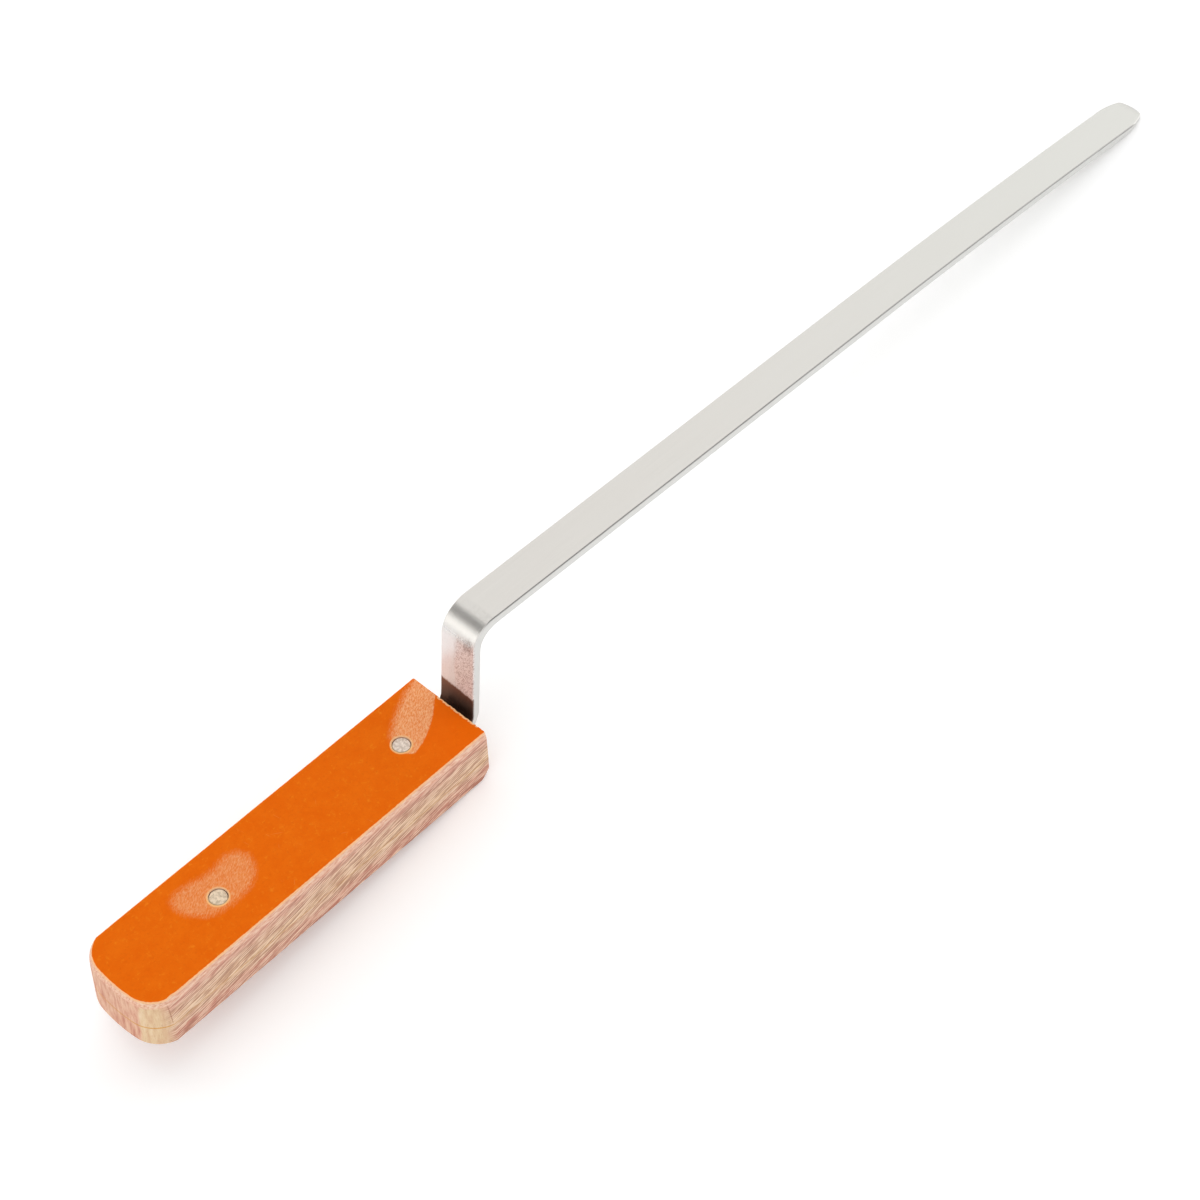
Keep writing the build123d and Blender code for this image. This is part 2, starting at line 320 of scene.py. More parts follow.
def build_bar():
    stations = list(np.arange(0.0, 96, 4.0)) + list(np.arange(96, S_BEND1, 0.8))
    stations += list(np.linspace(S_BEND1, S_RISER, 44)) + list(np.linspace(S_RISER, S_BEND2, 48))[1:]
    stations += list(np.linspace(S_BEND2, S_BLADE, 56))[1:]
    stations += list(np.linspace(S_BLADE, S_END - 22, 200))[1:]
    stations += list(np.linspace(S_END - 22, S_END - 1.25, 44))[1:]
    rings = [(s, 0.0) for s in stations]
    last = S_END + 0.15 - 0.42
    for dt in (1.0, 0.88, 0.77, 0.68, 0.6, 0.54, 0.48, 0.44):
        rings.append((S_END + 0.15 - dt - 0.18, 0.0))
    rnd = 0.18
    for k in range(1, 6):
        a = math.radians(18 * k)
        rings.append((last - rnd + rnd * math.sin(a), rnd * (1 - math.cos(a))))
    verts, faces = [], []
    count = None
    for s, inset in rings:
        x, z, a = PATH.at(min(s, S_END))
        if s > S_END:
            x, z = x + (s - S_END) * math.cos(a), z + (s - S_END) * math.sin(a)
        dt = S_END + 0.15 - s
        t = smooth(TIP_BEVEL_L - dt, 0, TIP_BEVEL_L) * 0.15 + max(0.0, min(1.0, 1 - dt / TIP_BEVEL_L)) * 0.85
        th = BAR_T - (BAR_T - TIP_T) * t
        hw = tip_half_width(dt - (0.18 if dt < 1.3 else 0.0))
        r = 0.3 - 0.1 * smooth(14 - dt, 0, 8)
        # a bent bar swells a little on the inside of each bend and draws in on the outside
        bend = 0.0
        for b0, b1, sign in ((S_BEND1, S_RISER, 1), (S_BEND2, S_BLADE, -1)):
            bend += sign * smooth(s, b0 - 1.5, b0 + 2.5) * (1 - smooth(s, b1 - 2.5, b1 + 1.5))
        bulge = 0.42 * smooth(6 - dt, 0, 6)
        nx, nz = -math.sin(a), math.cos(a)
        ring = []
        for row in section(hw, th, r, inset):
            for y, h in row:
                yy = y * (1 + bend * 0.016 * h)
                wave = 0.022 * bumpy(s * 0.045, y * 0.11, 3.0 + (h > 0)) + 0.010 * bumpy(s * 0.16, y * 0.3, 7.0)
                if abs(y) > hw - 0.7:
                    yy += math.copysign(0.035 * bumpy(s * 0.11, 0.0, 11.0 + (y > 0)) + 0.02 * bumpy(s * 0.5, h * 0.4, 15.0), y)
                hh = h + (wave if abs(h) > 0 else 0.0) * (1 if S_BEND1 < s < S_END - 0.4 else 0)
                f = bulge * (1 - min(1.0, abs(y) / hw) ** 2)
                ring.append((x + nx * hh + f * math.cos(a), yy, z + nz * hh + f * math.sin(a)))
        count = len(ring)
        verts += ring
    for i in range(len(rings) - 1):
        for k in range(count):
            j = (k + 1) % count
            faces.append((i * count + k, i * count + j, (i + 1) * count + j, (i + 1) * count + k))
    n_top = len(section(6, 3, 0.5)[0])
    n_side = len(section(6, 3, 0.5)[1])

    def cap(base):
        """Fills one end with a grid between its four rows."""
        top = [base + k for k in range(n_top + 1)]
        side_a = [base + n_top + k for k in range(n_side + 1)]
        bottom = [base + n_top + n_side + k for k in range(n_top + 1)]
        side_b = [base + 2 * n_top + n_side + k for k in range(n_side)] + [base]
        grid = [[None] * (n_side + 1) for _ in range(n_top + 1)]
        for i in range(n_top + 1):
            grid[i][0] = top[i]
            grid[i][n_side] = bottom[n_top - i]
        for j in range(n_side + 1):
            grid[n_top][j] = side_a[j]
            grid[0][j] = side_b[n_side - j]
        for i in range(1, n_top):
            for j in range(1, n_side):
                u, v = i / n_top, j / n_side
                p = [np.array(verts[g]) for g in (grid[i][0], grid[i][n_side], grid[0][j], grid[n_top][j])]
                c = [np.array(verts[g]) for g in (grid[0][0], grid[n_top][0], grid[0][n_side], grid[n_top][n_side])]
                q = (1 - v) * p[0] + v * p[1] + (1 - u) * p[2] + u * p[3]
                q -= (1 - u) * (1 - v) * c[0] + u * (1 - v) * c[1] + (1 - u) * v * c[2] + u * v * c[3]
                grid[i][j] = len(verts)
                verts.append(tuple(q))
        for i in range(n_top):
            for j in range(n_side):
                faces.append((grid[i][j], grid[i + 1][j], grid[i + 1][j + 1], grid[i][j + 1]))

    cap(0)
    cap((len(rings) - 1) * count)
    return mesh_object("bar", verts, faces)


# ------------------------------------------------------------------ the handle's outline
_corner = circle3((-120.9, HANDLE_HW), (-125.4, 12.8), (-128.2, 6.8))
_butt = circle3((-128.2, 6.8), (-128.6, 0.0), (-128.2, -6.8))


def outline(d, fx, rf=0.5):
    """The handle's plan, d mm inside its sides and butt and fx behind its front, as one ring of points."""
    hw = HANDLE_HW - d
    pts = []

    def line(p, q, n):
        pts.extend([(p[0] + (q[0] - p[0]) * k / n, p[1] + (q[1] - p[1]) * k / n) for k in range(n)])

    def arc(c, r, a0, a1, n):
        pts.extend([(c[0] + r * math.cos(a0 + (a1 - a0) * k / n), c[1] + r * math.sin(a0 + (a1 - a0) * k / n)) for k in range(n)])

    cx, cy, r = _corner
    r -= d
    bx, _, br = _butt
    br -= d
    # where the inset side meets the inset corner arc, and where that meets the butt's arc
    top = (cx - math.sqrt(r * r - (hw - cy) ** 2), hw) if r > abs(hw - cy) else (cx, cy + r)
    gap = math.hypot(bx - cx, cy)
    along = (r * r - br * br + gap * gap) / (2 * gap)
    off = math.sqrt(max(r * r - along * along, 0))
    ux, uy = (bx - cx) / gap, -cy / gap
    m = (cx + ux * along, cy + uy * along)
    j = min([(m[0] - uy * off * s, m[1] + ux * off * s) for s in (1, -1)], key=lambda p: math.hypot(p[0] + 128.2, p[1] - 6.8))
    a_top = math.atan2(top[1] - cy, top[0] - cx)
    a_j = math.atan2(j[1] - cy, j[0] - cx) % (2 * math.pi)
    b_j = math.atan2(j[1], j[0] - bx) % (2 * math.pi)
    line((-fx, -hw + rf), (-fx, hw - rf), 84)
    arc((-fx - rf, hw - rf), rf, 0, math.pi / 2, 8)
    line((-fx - rf, hw), top, 170)
    arc((cx, cy), r, a_top, a_j, 24)
    arc((bx, 0), br, b_j, 2 * math.pi - b_j, 28)
    arc((cx, -cy), r, 2 * math.pi - a_j, 2 * math.pi - a_top, 24)
    line((top[0], -hw), (-fx - rf, -hw), 170)
    arc((-fx - rf, -hw + rf), rf, -math.pi / 2, 0, 8)
    return pts


TOP_EDGE = np.array(outline(DRAFT + 0.85, 0.0))
BASE_EDGE = np.array(outline(0.6, 0.6))


def inside_distance(xy, edge):
    """How far each point lies inside a closed outline, mm (negative outside)."""
    a, b = edge, np.roll(edge, -1, 0)
    out = np.full(len(xy), 1e9)
    inside = np.zeros(len(xy), bool)
    for p, q in zip(a, b):
        d = q - p
        t = np.clip(((xy - p) @ d) / max(d @ d, 1e-12), 0, 1)
        out = np.minimum(out, np.hypot(*(xy - p - t[:, None] * d).T))
        crosses = (p[1] > xy[:, 1]) != (q[1] > xy[:, 1])
        if abs(d[1]) > 1e-12:
            inside ^= crosses & (xy[:, 0] < (xy[:, 1] - p[1]) / d[1] * d[0] + p[0])
    return np.where(inside, out, -out)


def side_shift(x, y, z):
    """Slight unevenness of the sanded wood, mm outwards, the same for both scales and the glue between them."""
    low = 0.10 * bumpy(x * 0.035, y * 0.05, z * 0.09, 1) + 0.03 * bumpy(x * 0.16, y * 0.2, z * 0.35, 2)
    grain = 0.018 * bumpy(x * 0.22 + z * 0.3, y * 0.5, z * 1.5 - x * 0.22, 3)
    return low + grain


# worn and chipped places along the front's top edge, round the riser: y, half-width, depth
CHIPS = (
    (3.6, 0.7, 0.30), (1.7, 0.45, 0.22), (0.3, 0.8, 0.34), (-1.6, 0.4, 0.2), (-3.3, 0.9, 0.42), (-5.2, 0.5, 0.26),
    (-6.6, 0.9, 0.36), (-8.4, 0.45, 0.22), (-9.7, 0.8, 0.40), (-11.3, 0.6, 0.30), (-13.2, 0.4, 0.16), (8.6, 0.5, 0.14),
)


def chip_depth(y):
    return max(d * max(0.0, 1 - ((y - c) / w) ** 2) ** 0.7 for c, w, d in CHIPS)


FRONT_PATCH = [
    (0.6, 13.9), (0.6, 5.6), (-1.2, 4.6), (-5.9, 0.6), (-10.2, -2.0), (-14.7, -4.1), (-19.0, -5.2), (-20.6, -3.6),
    (-20.9, 0.0), (-19.4, 4.2), (-14.6, 7.4), (-10.1, 10.0), (-5.6, 12.2),
]
REAR_PATCH = [
    (-79.4, 8.7), (-75.9, 7.3), (-74.3, 4.6), (-74.8, 1.4), (-76.8, -1.5), (-79.1, -3.3), (-81.7, -4.5), (-87.8, -5.0),
    (-93.4, -4.2), (-96.2, -2.8), (-98.0, -0.6), (-99.8, 2.2), (-100.6, 5.4), (-99.6, 8.2), (-97.0, 9.4), (-92.8, 9.2),
    (-88.8, 8.0), (-84.8, 7.6),
]


def top_attributes(co):
    """For the upper scale: distance inside the orange face's edge, sanded patches, and the front edge's chips."""
    xy = co[:, :2]
    edge = inside_distance(xy, TOP_EDGE)
    front = inside_distance(xy, np.array(FRONT_PATCH))
    rear = inside_distance(xy, np.array(REAR_PATCH))
    # the front patch ends sharply along its right boundary, softly along its left
    line = np.array([(0.6, 5.6), (-1.2, 4.6), (-5.9, 0.6), (-10.2, -2.0), (-14.7, -4.1), (-19.0, -5.2)])
    near = np.full(len(xy), 1e9)
    for p, q in zip(line[:-1], line[1:]):
        d = q - p
        t = np.clip(((xy - p) @ d) / (d @ d), 0, 1)
        near = np.minimum(near, np.hypot(*(xy - p - t[:, None] * d).T))
    soft_f = 0.7 + 4.2 * np.clip((near - 2.0) / 4.5, 0, 1)
    chips = np.array([(chip_depth(y) + 0.16 * smooth(6 - y, 0, 2) * smooth(y + 11, 0, 3)) * smooth(x, -0.75, -0.25) * smooth(z, 17.8, 18.6) for x, y, z in co])
    return {
        "edge_mm": edge,
        "patch_front": np.clip(0.5 + front / soft_f, -1, 2),
        "patch_rear": np.clip(0.5 + rear / 2.6, -1, 2),
        "chip": chips,
    }


def ring_stack(name, rows, cap_low, cap_high):
    """rows: (z, d, fx, rf, material of the band above it). The caps are filled with an even triangulated grid."""
    verts, faces, mats = [], [], []
    n = len(outline(0, 0))
    for z, d, fx, rf, _ in rows:
        pts = np.array(outline(d + DRAFT * min(z, SHOULDER_Z) / SHOULDER_Z, fx, rf))
        tangent = np.roll(pts, -1, 0) - np.roll(pts, 1, 0)
        normal = np.stack([tangent[:, 1], -tangent[:, 0]], 1)
        normal /= np.linalg.norm(normal, axis=1)[:, None]
        for k in range(n):
            x, y = pts[k]
            facet = smooth(z, 17.0, 18.2) * (1 - smooth(z, 19.0, 19.3)) * (1 if k >= 92 and k < n - 8 else 0)
            keep = 1 if d < 1.0 or z < 17 else max(0.0, 1 - (d - 1.0) / 1.2)
            shift = side_shift(x, y, z) * keep
            if k >= 92 and y < -9 and z > SHOULDER_Z:
                shift -= 0.40 * math.exp(-(((x + 119.6) / 1.8) ** 2)) * min(1.0, (z - SHOULDER_Z) / (HANDLE_T - SHOULDER_Z)) * keep
            shift += facet * (0.10 * bumpy(x * 0.10, y * 0.12, z * 0.5, 5) + 0.05 * bumpy(x * 0.45, y * 0.45, z * 1.2, 6))
            zz = z
            if 18.9 < z:
                zz -= 0.02 * (1 + bumpy(x * 0.3, y * 0.3, 0, 8))
            verts.append((x + normal[k, 0] * shift, y + normal[k, 1] * shift, zz))
    for i in range(len(rows) - 1):
        for k in range(n):
            j = (k + 1) % n
            faces.append((i * n + k, i * n + j, (i + 1) * n + j, (i + 1) * n + k))
            mats.append(rows[i][4])

    def cap(base, z, spacing, mat, depth):
        ring = [Vector(verts[base + k][:2]) for k in range(n)]
        edge = np.array([tuple(p) for p in ring])
        gx = np.arange(edge[:, 0].min(), edge[:, 0].max(), spacing)
        gy = np.arange(-HANDLE_HW, HANDLE_HW + spacing, spacing * 0.8660254)
        pts = []
        for r, y in enumerate(gy):
            for x in gx:
                pts.append((x + (spacing / 2 if r % 2 else 0), y))
        pts = np.array(pts)
        pts = pts[inside_distance(pts, edge) > spacing * 0.45]
        allp = ring + [Vector(p) for p in pts]
        out_v, _, out_f, orig_v, _, _ = delaunay_2d_cdt(allp, [], [list(range(n))], 1, 1e-5)
        index = []
        for v, o in zip(out_v, orig_v):
            if o and min(o) < n:
                index.append(base + min(o))
            else:
                index.append(len(verts))
                verts.append((v[0], v[1], z + depth(v[0], v[1])))
        for f in out_f:
            faces.append(tuple(index[i] for i in f))
            mats.append(mat)

    cap(0, rows[0][0], *cap_low)
    cap((len(rows) - 1) * n, rows[-1][0], *cap_high)
    return verts, faces, mats


def build_upper():
    rows = [(8.2, 0.5, 0.5, 0.5, 0), (8.2, 0.06, 0.06, 0.5, 0), (8.24, 0.0, 0.0, 0.5, 0)]
    rows += [(z, 0.0, 0.0, 0.5, 0) for z in np.arange(8.6, 16.7, 0.5)]
    for z, d in ((16.95, 0.0), (17.2, 0.015), (17.42, 0.05), (17.62, 0.11), (17.82, 0.19), (18.02, 0.28), (18.24, 0.38), (18.46, 0.48), (18.68, 0.58), (18.9, 0.68)):
        rows.append((z, d, 0.0, 0.5, 0))
    rows += [(19.08, 0.76, 0.0, 0.5, 0), (19.2, 0.815, 0.015, 0.5, 0), (19.265, 0.86, 0.05, 0.5, 1), (19.293, 0.93, 0.11, 0.5, 1)]
    rows += [(19.3, 1.05, 0.2, 0.5, 1), (19.3, 1.35, 0.45, 0.5, 1), (19.3, 1.9, 1.0, 0.5, 1)]
    front, rear = np.array(FRONT_PATCH), np.array(REAR_PATCH)

    def dish(x, y):
        p = np.array([(x, y)])
        a = smooth(inside_distance(p, front)[0], -1.5, 2.5) + smooth(inside_distance(p, rear)[0], -1.5, 2.5)
        return -0.10 * a - 0.02 * (1 + bumpy(x * 0.3, y * 0.3, 0, 8)) + 0.02 * bumpy(x * 0.08, y * 0.1, 0, 9)

    verts, faces, mats = ring_stack("upper", rows, (3.0, 0, lambda x, y: 0.0), (0.9, 1, dish))
    out = []
    for x, y, z in verts:
        if x > -1.1 and z > 17.7 and abs(y) < 14:
            c = chip_depth(y) * smooth(z, 17.8, 18.9) * smooth(x, -1.05, -0.25)
            c *= 0.75 + 0.5 * bumpy(x * 2, y * 2.5, z * 2, 4)
            x, z = x - c * 0.30, z - c * 0.45 * smooth(z, 18.7, 19.2)
        out.append((x, y, z))
    o = mesh_object("upper", out, faces, mats)
    prism = [(1.0, 7.2), (1.0, 11.2 + 1.15 * 4.6 / 3.6), (-3.6, 11.22), (-108.5, 11.22), (-108.5, 7.2)]
    v = [(x, s * 6.4, z) for s in (-1, 1) for x, z in prism]
    f = [tuple(range(5)), tuple(range(9, 4, -1))] + [(k, (k + 1) % 5, 5 + (k + 1) % 5, 5 + k) for k in range(5)]
    channel = mesh_object("channel", v, f)
    rim = [(0, 21), (3.7, 21), (3.42, 19.42), (3.24, 19.3), (3.10, 19.22), (2.97, 19.1), (2.87, 18.96), (2.81, 18.8), (2.8, 18.6), (2.8, 7.0), (0, 7.0)]
    cut(o, channel, *[revolve("hole", rim, p, 96, wob=lambda r, z, t: (0.05 * bumpy(math.cos(t) * 1.6, math.sin(t) * 1.6, z, 6) if 18.7 < z < 20 else 0.0, 0.0)) for p in PINS])
    return o


def build_lower():
    rows = [(0.0, 2.0, 2.0, 0.5, 1), (0.0, 1.2, 1.2, 0.5, 1), (0.0, 0.75, 0.75, 0.5, 1)]
    for k in range(0, 7):
        a = math.radians(15 * k)
        rows.append((0.6 * (1 - math.cos(a)), 0.6 * (1 - math.sin(a)), 0.6 * (1 - math.sin(a)), 0.6, 1 if k == 0 else 0))
    rows += [(z, 0.0, 0.0, 0.5, 0) for z in np.arange(1.0, 7.7, 0.45)]
    rows += [(7.96, 0.0, 0.0, 0.5, 0), (8.0, 0.06, 0.06, 0.5, 0), (8.0, 0.5, 0.5, 0.5, 0)]
    verts, faces, mats = ring_stack("lower", rows, (0.0 + 1.6, 1, lambda x, y: 0.0), (3.0, 0, lambda x, y: 0.0))
    for i, (x, y, z) in enumerate(verts):
        # the lower front corners are worn round
        a = max(0.0, 1 + x / 3.2) * max(0.0, 1 - (15.65 - abs(y)) / 3.2) * max(0.0, 1 - z / 3.4)
        if a > 0:
            verts[i] = (x - 0.6 * a, y - math.copysign(0.8 * a, y), z + 0.8 * a)
    o = mesh_object("lower", verts, faces, mats)
    rim = [(0, 9), (2.8, 9), (2.8, 0.7), (2.81, 0.5), (2.87, 0.34), (2.97, 0.2), (3.10, 0.08), (3.24, 0.0), (3.42, -0.12), (3.7, -1.7), (0, -1.7)]
    cut(o, *[revolve("hole", rim, p, 96) for p in PINS])
    return o


def build_bond():
    rows = [(8.0, 0.5, 0.5, 0.5, 0), (8.0, 0.03, 0.03, 0.5, 0), (8.03, 0.012, 0.012, 0.5, 0), (8.1, 0.0, 0.0, 0.5, 0), (8.17, 0.012, 0.012, 0.5, 0), (8.2, 0.03, 0.03, 0.5, 0), (8.2, 0.5, 0.5, 0.5, 0)]
    verts, faces, mats = ring_stack("bond", rows, (3.0, 0, lambda x, y: 0.0), (3.0, 0, lambda x, y: 0.0))
    o = mesh_object("bond", verts, faces, mats)
    cut(o, *[revolve("hole", [(0, 9), (2.8, 9), (2.8, 7.2), (0, 7.2)], p, 96) for p in PINS])
    return o


def build_pin(cx, seed):
    top = [(0, 0.5), (0.3, 0.5), (0.6, 0.5), (0.95, 0.5), (1.3, 0.5), (1.6, 0.5), (1.9, 0.5), (2.1, 0.505), (2.25, 0.515), (2.38, 0.52), (2.47, 0.53), (2.52, 0.55), (2.545, 0.59), (2.55, 0.85)]
    prof = [(r, z) for r, z in top] + [(2.55, z) for z in np.linspace(1.4, HANDLE_T - 1.4, 14)] + [(r, HANDLE_T - z) for r, z in reversed(top)]

    def dents(r, z, t):
        x, y = r * math.cos(t), r * math.sin(t)
        if r > 2.5:
            return 0.0, 0.0
        fall = 1 if z > 10 else -1
        d = 0.035 * bumpy(x * 0.75, y * 0.75, z, seed) + 0.018 * bumpy(x * 2.2, y * 2.2, z, seed + 1)
        return 0.0, fall * d

    return revolve("pin", prof, cx, 96, wob=dents)


def build_sleeve(cx, seed):
    lo, hi = 0.75, HANDLE_T - 0.75
    prof = [(2.8, z) for z in np.linspace(lo + 0.05, hi + 0.08, 16)]
    prof += [(2.775, hi + 0.05), (2.74, hi + 0.0), (2.70, hi - 0.03), (2.66, hi - 0.03), (2.62, hi + 0.0), (2.585, hi + 0.04), (2.555, hi + 0.08)]
    prof += [(2.55, z) for z in np.linspace(hi - 0.1, lo + 0.1, 15)]
    prof += [(2.58, lo - 0.02), (2.62, lo + 0.01), (2.67, lo + 0.03), (2.72, lo + 0.02), (2.77, lo - 0.01)]

    def ripple(r, z, t):
        up = 0.06 * bumpy(math.cos(t) * 1.4, math.sin(t) * 1.4, r, seed)
        if z > hi - 0.06:
            far = 0.75 * math.cos(t) + 0.65 * math.sin(t)
            up += 0.20 * max(0.0, 0.35 - far) - 0.30 * max(0.0, far - 0.2)
        return (0.0, up if z > hi - 0.06 or z < lo + 0.06 else 0.0)

    return revolve("sleeve", prof, cx, 96, closed=False, wob=ripple)


# ------------------------------------------------------------------ node helpers
class Look:
    def __init__(self, name):
        self.mat = bpy.data.materials.new(name)
        self.mat.use_nodes = True
        self.t = self.mat.node_tree
        self.t.nodes.clear()
        out = self.t.nodes.new("ShaderNodeOutputMaterial")
        self.b = self.t.nodes.new("ShaderNodeBsdfPrincipled")
        self.t.links.new(self.b.outputs[0], out.inputs[0])

    def put(self, socket, v):
        if isinstance(v, bpy.types.NodeSocket):
            self.t.links.new(v, socket)
        elif isinstance(v, (tuple, list)) and len(v) == 3 and socket.type == "RGBA":
            socket.default_value = (*v, 1)
        else:
            socket.default_value = v

    def attr(self, name, out="Vector"):
        n = self.t.nodes.new("ShaderNodeAttribute")
        n.attribute_name = name
        return n.outputs[out]

    def m(self, op, a, b=0.0, c=0.0, clamp=False):
        n = self.t.nodes.new("ShaderNodeMath")
        n.operation = op
        n.use_clamp = clamp
        self.put(n.inputs[0], a)
        self.put(n.inputs[1], b)
        self.put(n.inputs[2], c)
        return n.outputs[0]

    def sep(self, v):
        n = self.t.nodes.new("ShaderNodeSeparateXYZ")
        self.put(n.inputs[0], v)
        return n.outputs[0], n.outputs[1], n.outputs[2]

    def vec(self, x, y, z):
        n = self.t.nodes.new("ShaderNodeCombineXYZ")
        for i, v in enumerate((x, y, z)):
            self.put(n.inputs[i], v)
        return n.outputs[0]

    def map(self, v, scale=(1, 1, 1), rot=(0, 0, 0), loc=(0, 0, 0)):
        n = self.t.nodes.new("ShaderNodeMapping")
        self.put(n.inputs["Vector"], v)
        n.inputs["Location"].default_value = loc
        n.inputs["Rotation"].default_value = rot
        n.inputs["Scale"].default_value = scale
        return n.outputs[0]

    def noise(self, v, scale=1.0, detail=2.0, rough=0.5, dist=0.0):
        n = self.t.nodes.new("ShaderNodeTexNoise")
        self.put(n.inputs["Vector"], v)
        n.inputs["Scale"].default_value = scale
        n.inputs["Detail"].default_value = detail
        n.inputs["Roughness"].default_value = rough
        n.inputs["Distortion"].default_value = dist
        return n.outputs["Fac"]

    def step(self, x, lo, hi):
        n = self.t.nodes.new("ShaderNodeMapRange")
        n.interpolation_type = "SMOOTHSTEP"
        self.put(n.inputs["Value"], x)
        self.put(n.inputs["From Min"], lo)
        self.put(n.inputs["From Max"], hi)
        return n.outputs[0]

    def lin(self, x, lo, hi, a=0.0, b=1.0):
        n = self.t.nodes.new("ShaderNodeMapRange")
        self.put(n.inputs["Value"], x)
        self.put(n.inputs["From Min"], lo)
        self.put(n.inputs["From Max"], hi)
        self.put(n.inputs["To Min"], a)
        self.put(n.inputs["To Max"], b)
        return n.outputs[0]

    def mix(self, f, a, b, kind="MIX"):
        n = self.t.nodes.new("ShaderNodeMix")
        n.data_type = "RGBA"
        n.blend_type = kind
        n.clamp_factor = True
        self.put(n.inputs[0], f)
        self.put(n.inputs[6], a)
        self.put(n.inputs[7], b)
        return n.outputs[2]

    def ramp(self, f, stops, interp="LINEAR"):
        n = self.t.nodes.new("ShaderNodeValToRGB")
        e = n.color_ramp.elements
        n.color_ramp.interpolation = interp
        for _ in range(len(stops) - 2):
            e.new(0.5)
        for k, (p, c) in enumerate(stops):
            e[k].position = p
            e[k].color = (*c, 1)
        self.put(n.inputs[0], f)
        return n.outputs[0]

    def bump(self, h, dist, strength=1.0, normal=None):
        n = self.t.nodes.new("ShaderNodeBump")
        n.inputs["Strength"].default_value = strength
        n.inputs["Distance"].default_value = dist
        self.put(n.inputs["Height"], h)
        if normal is not None:
            self.put(n.inputs["Normal"], normal)
        return n.outputs[0]


WOOD_GAIN, COAT_GAIN = (0.91, 0.83, 0.80), 0.985


def rgb(r, g, b):
    """A display colour, 0 to 255, as the linear value a shader takes."""
    f = lambda c: (c / 255) / 12.92 if c / 255 <= 0.04045 else ((c / 255 + 0.055) / 1.055) ** 2.4
    return (f(r), f(g), f(b))


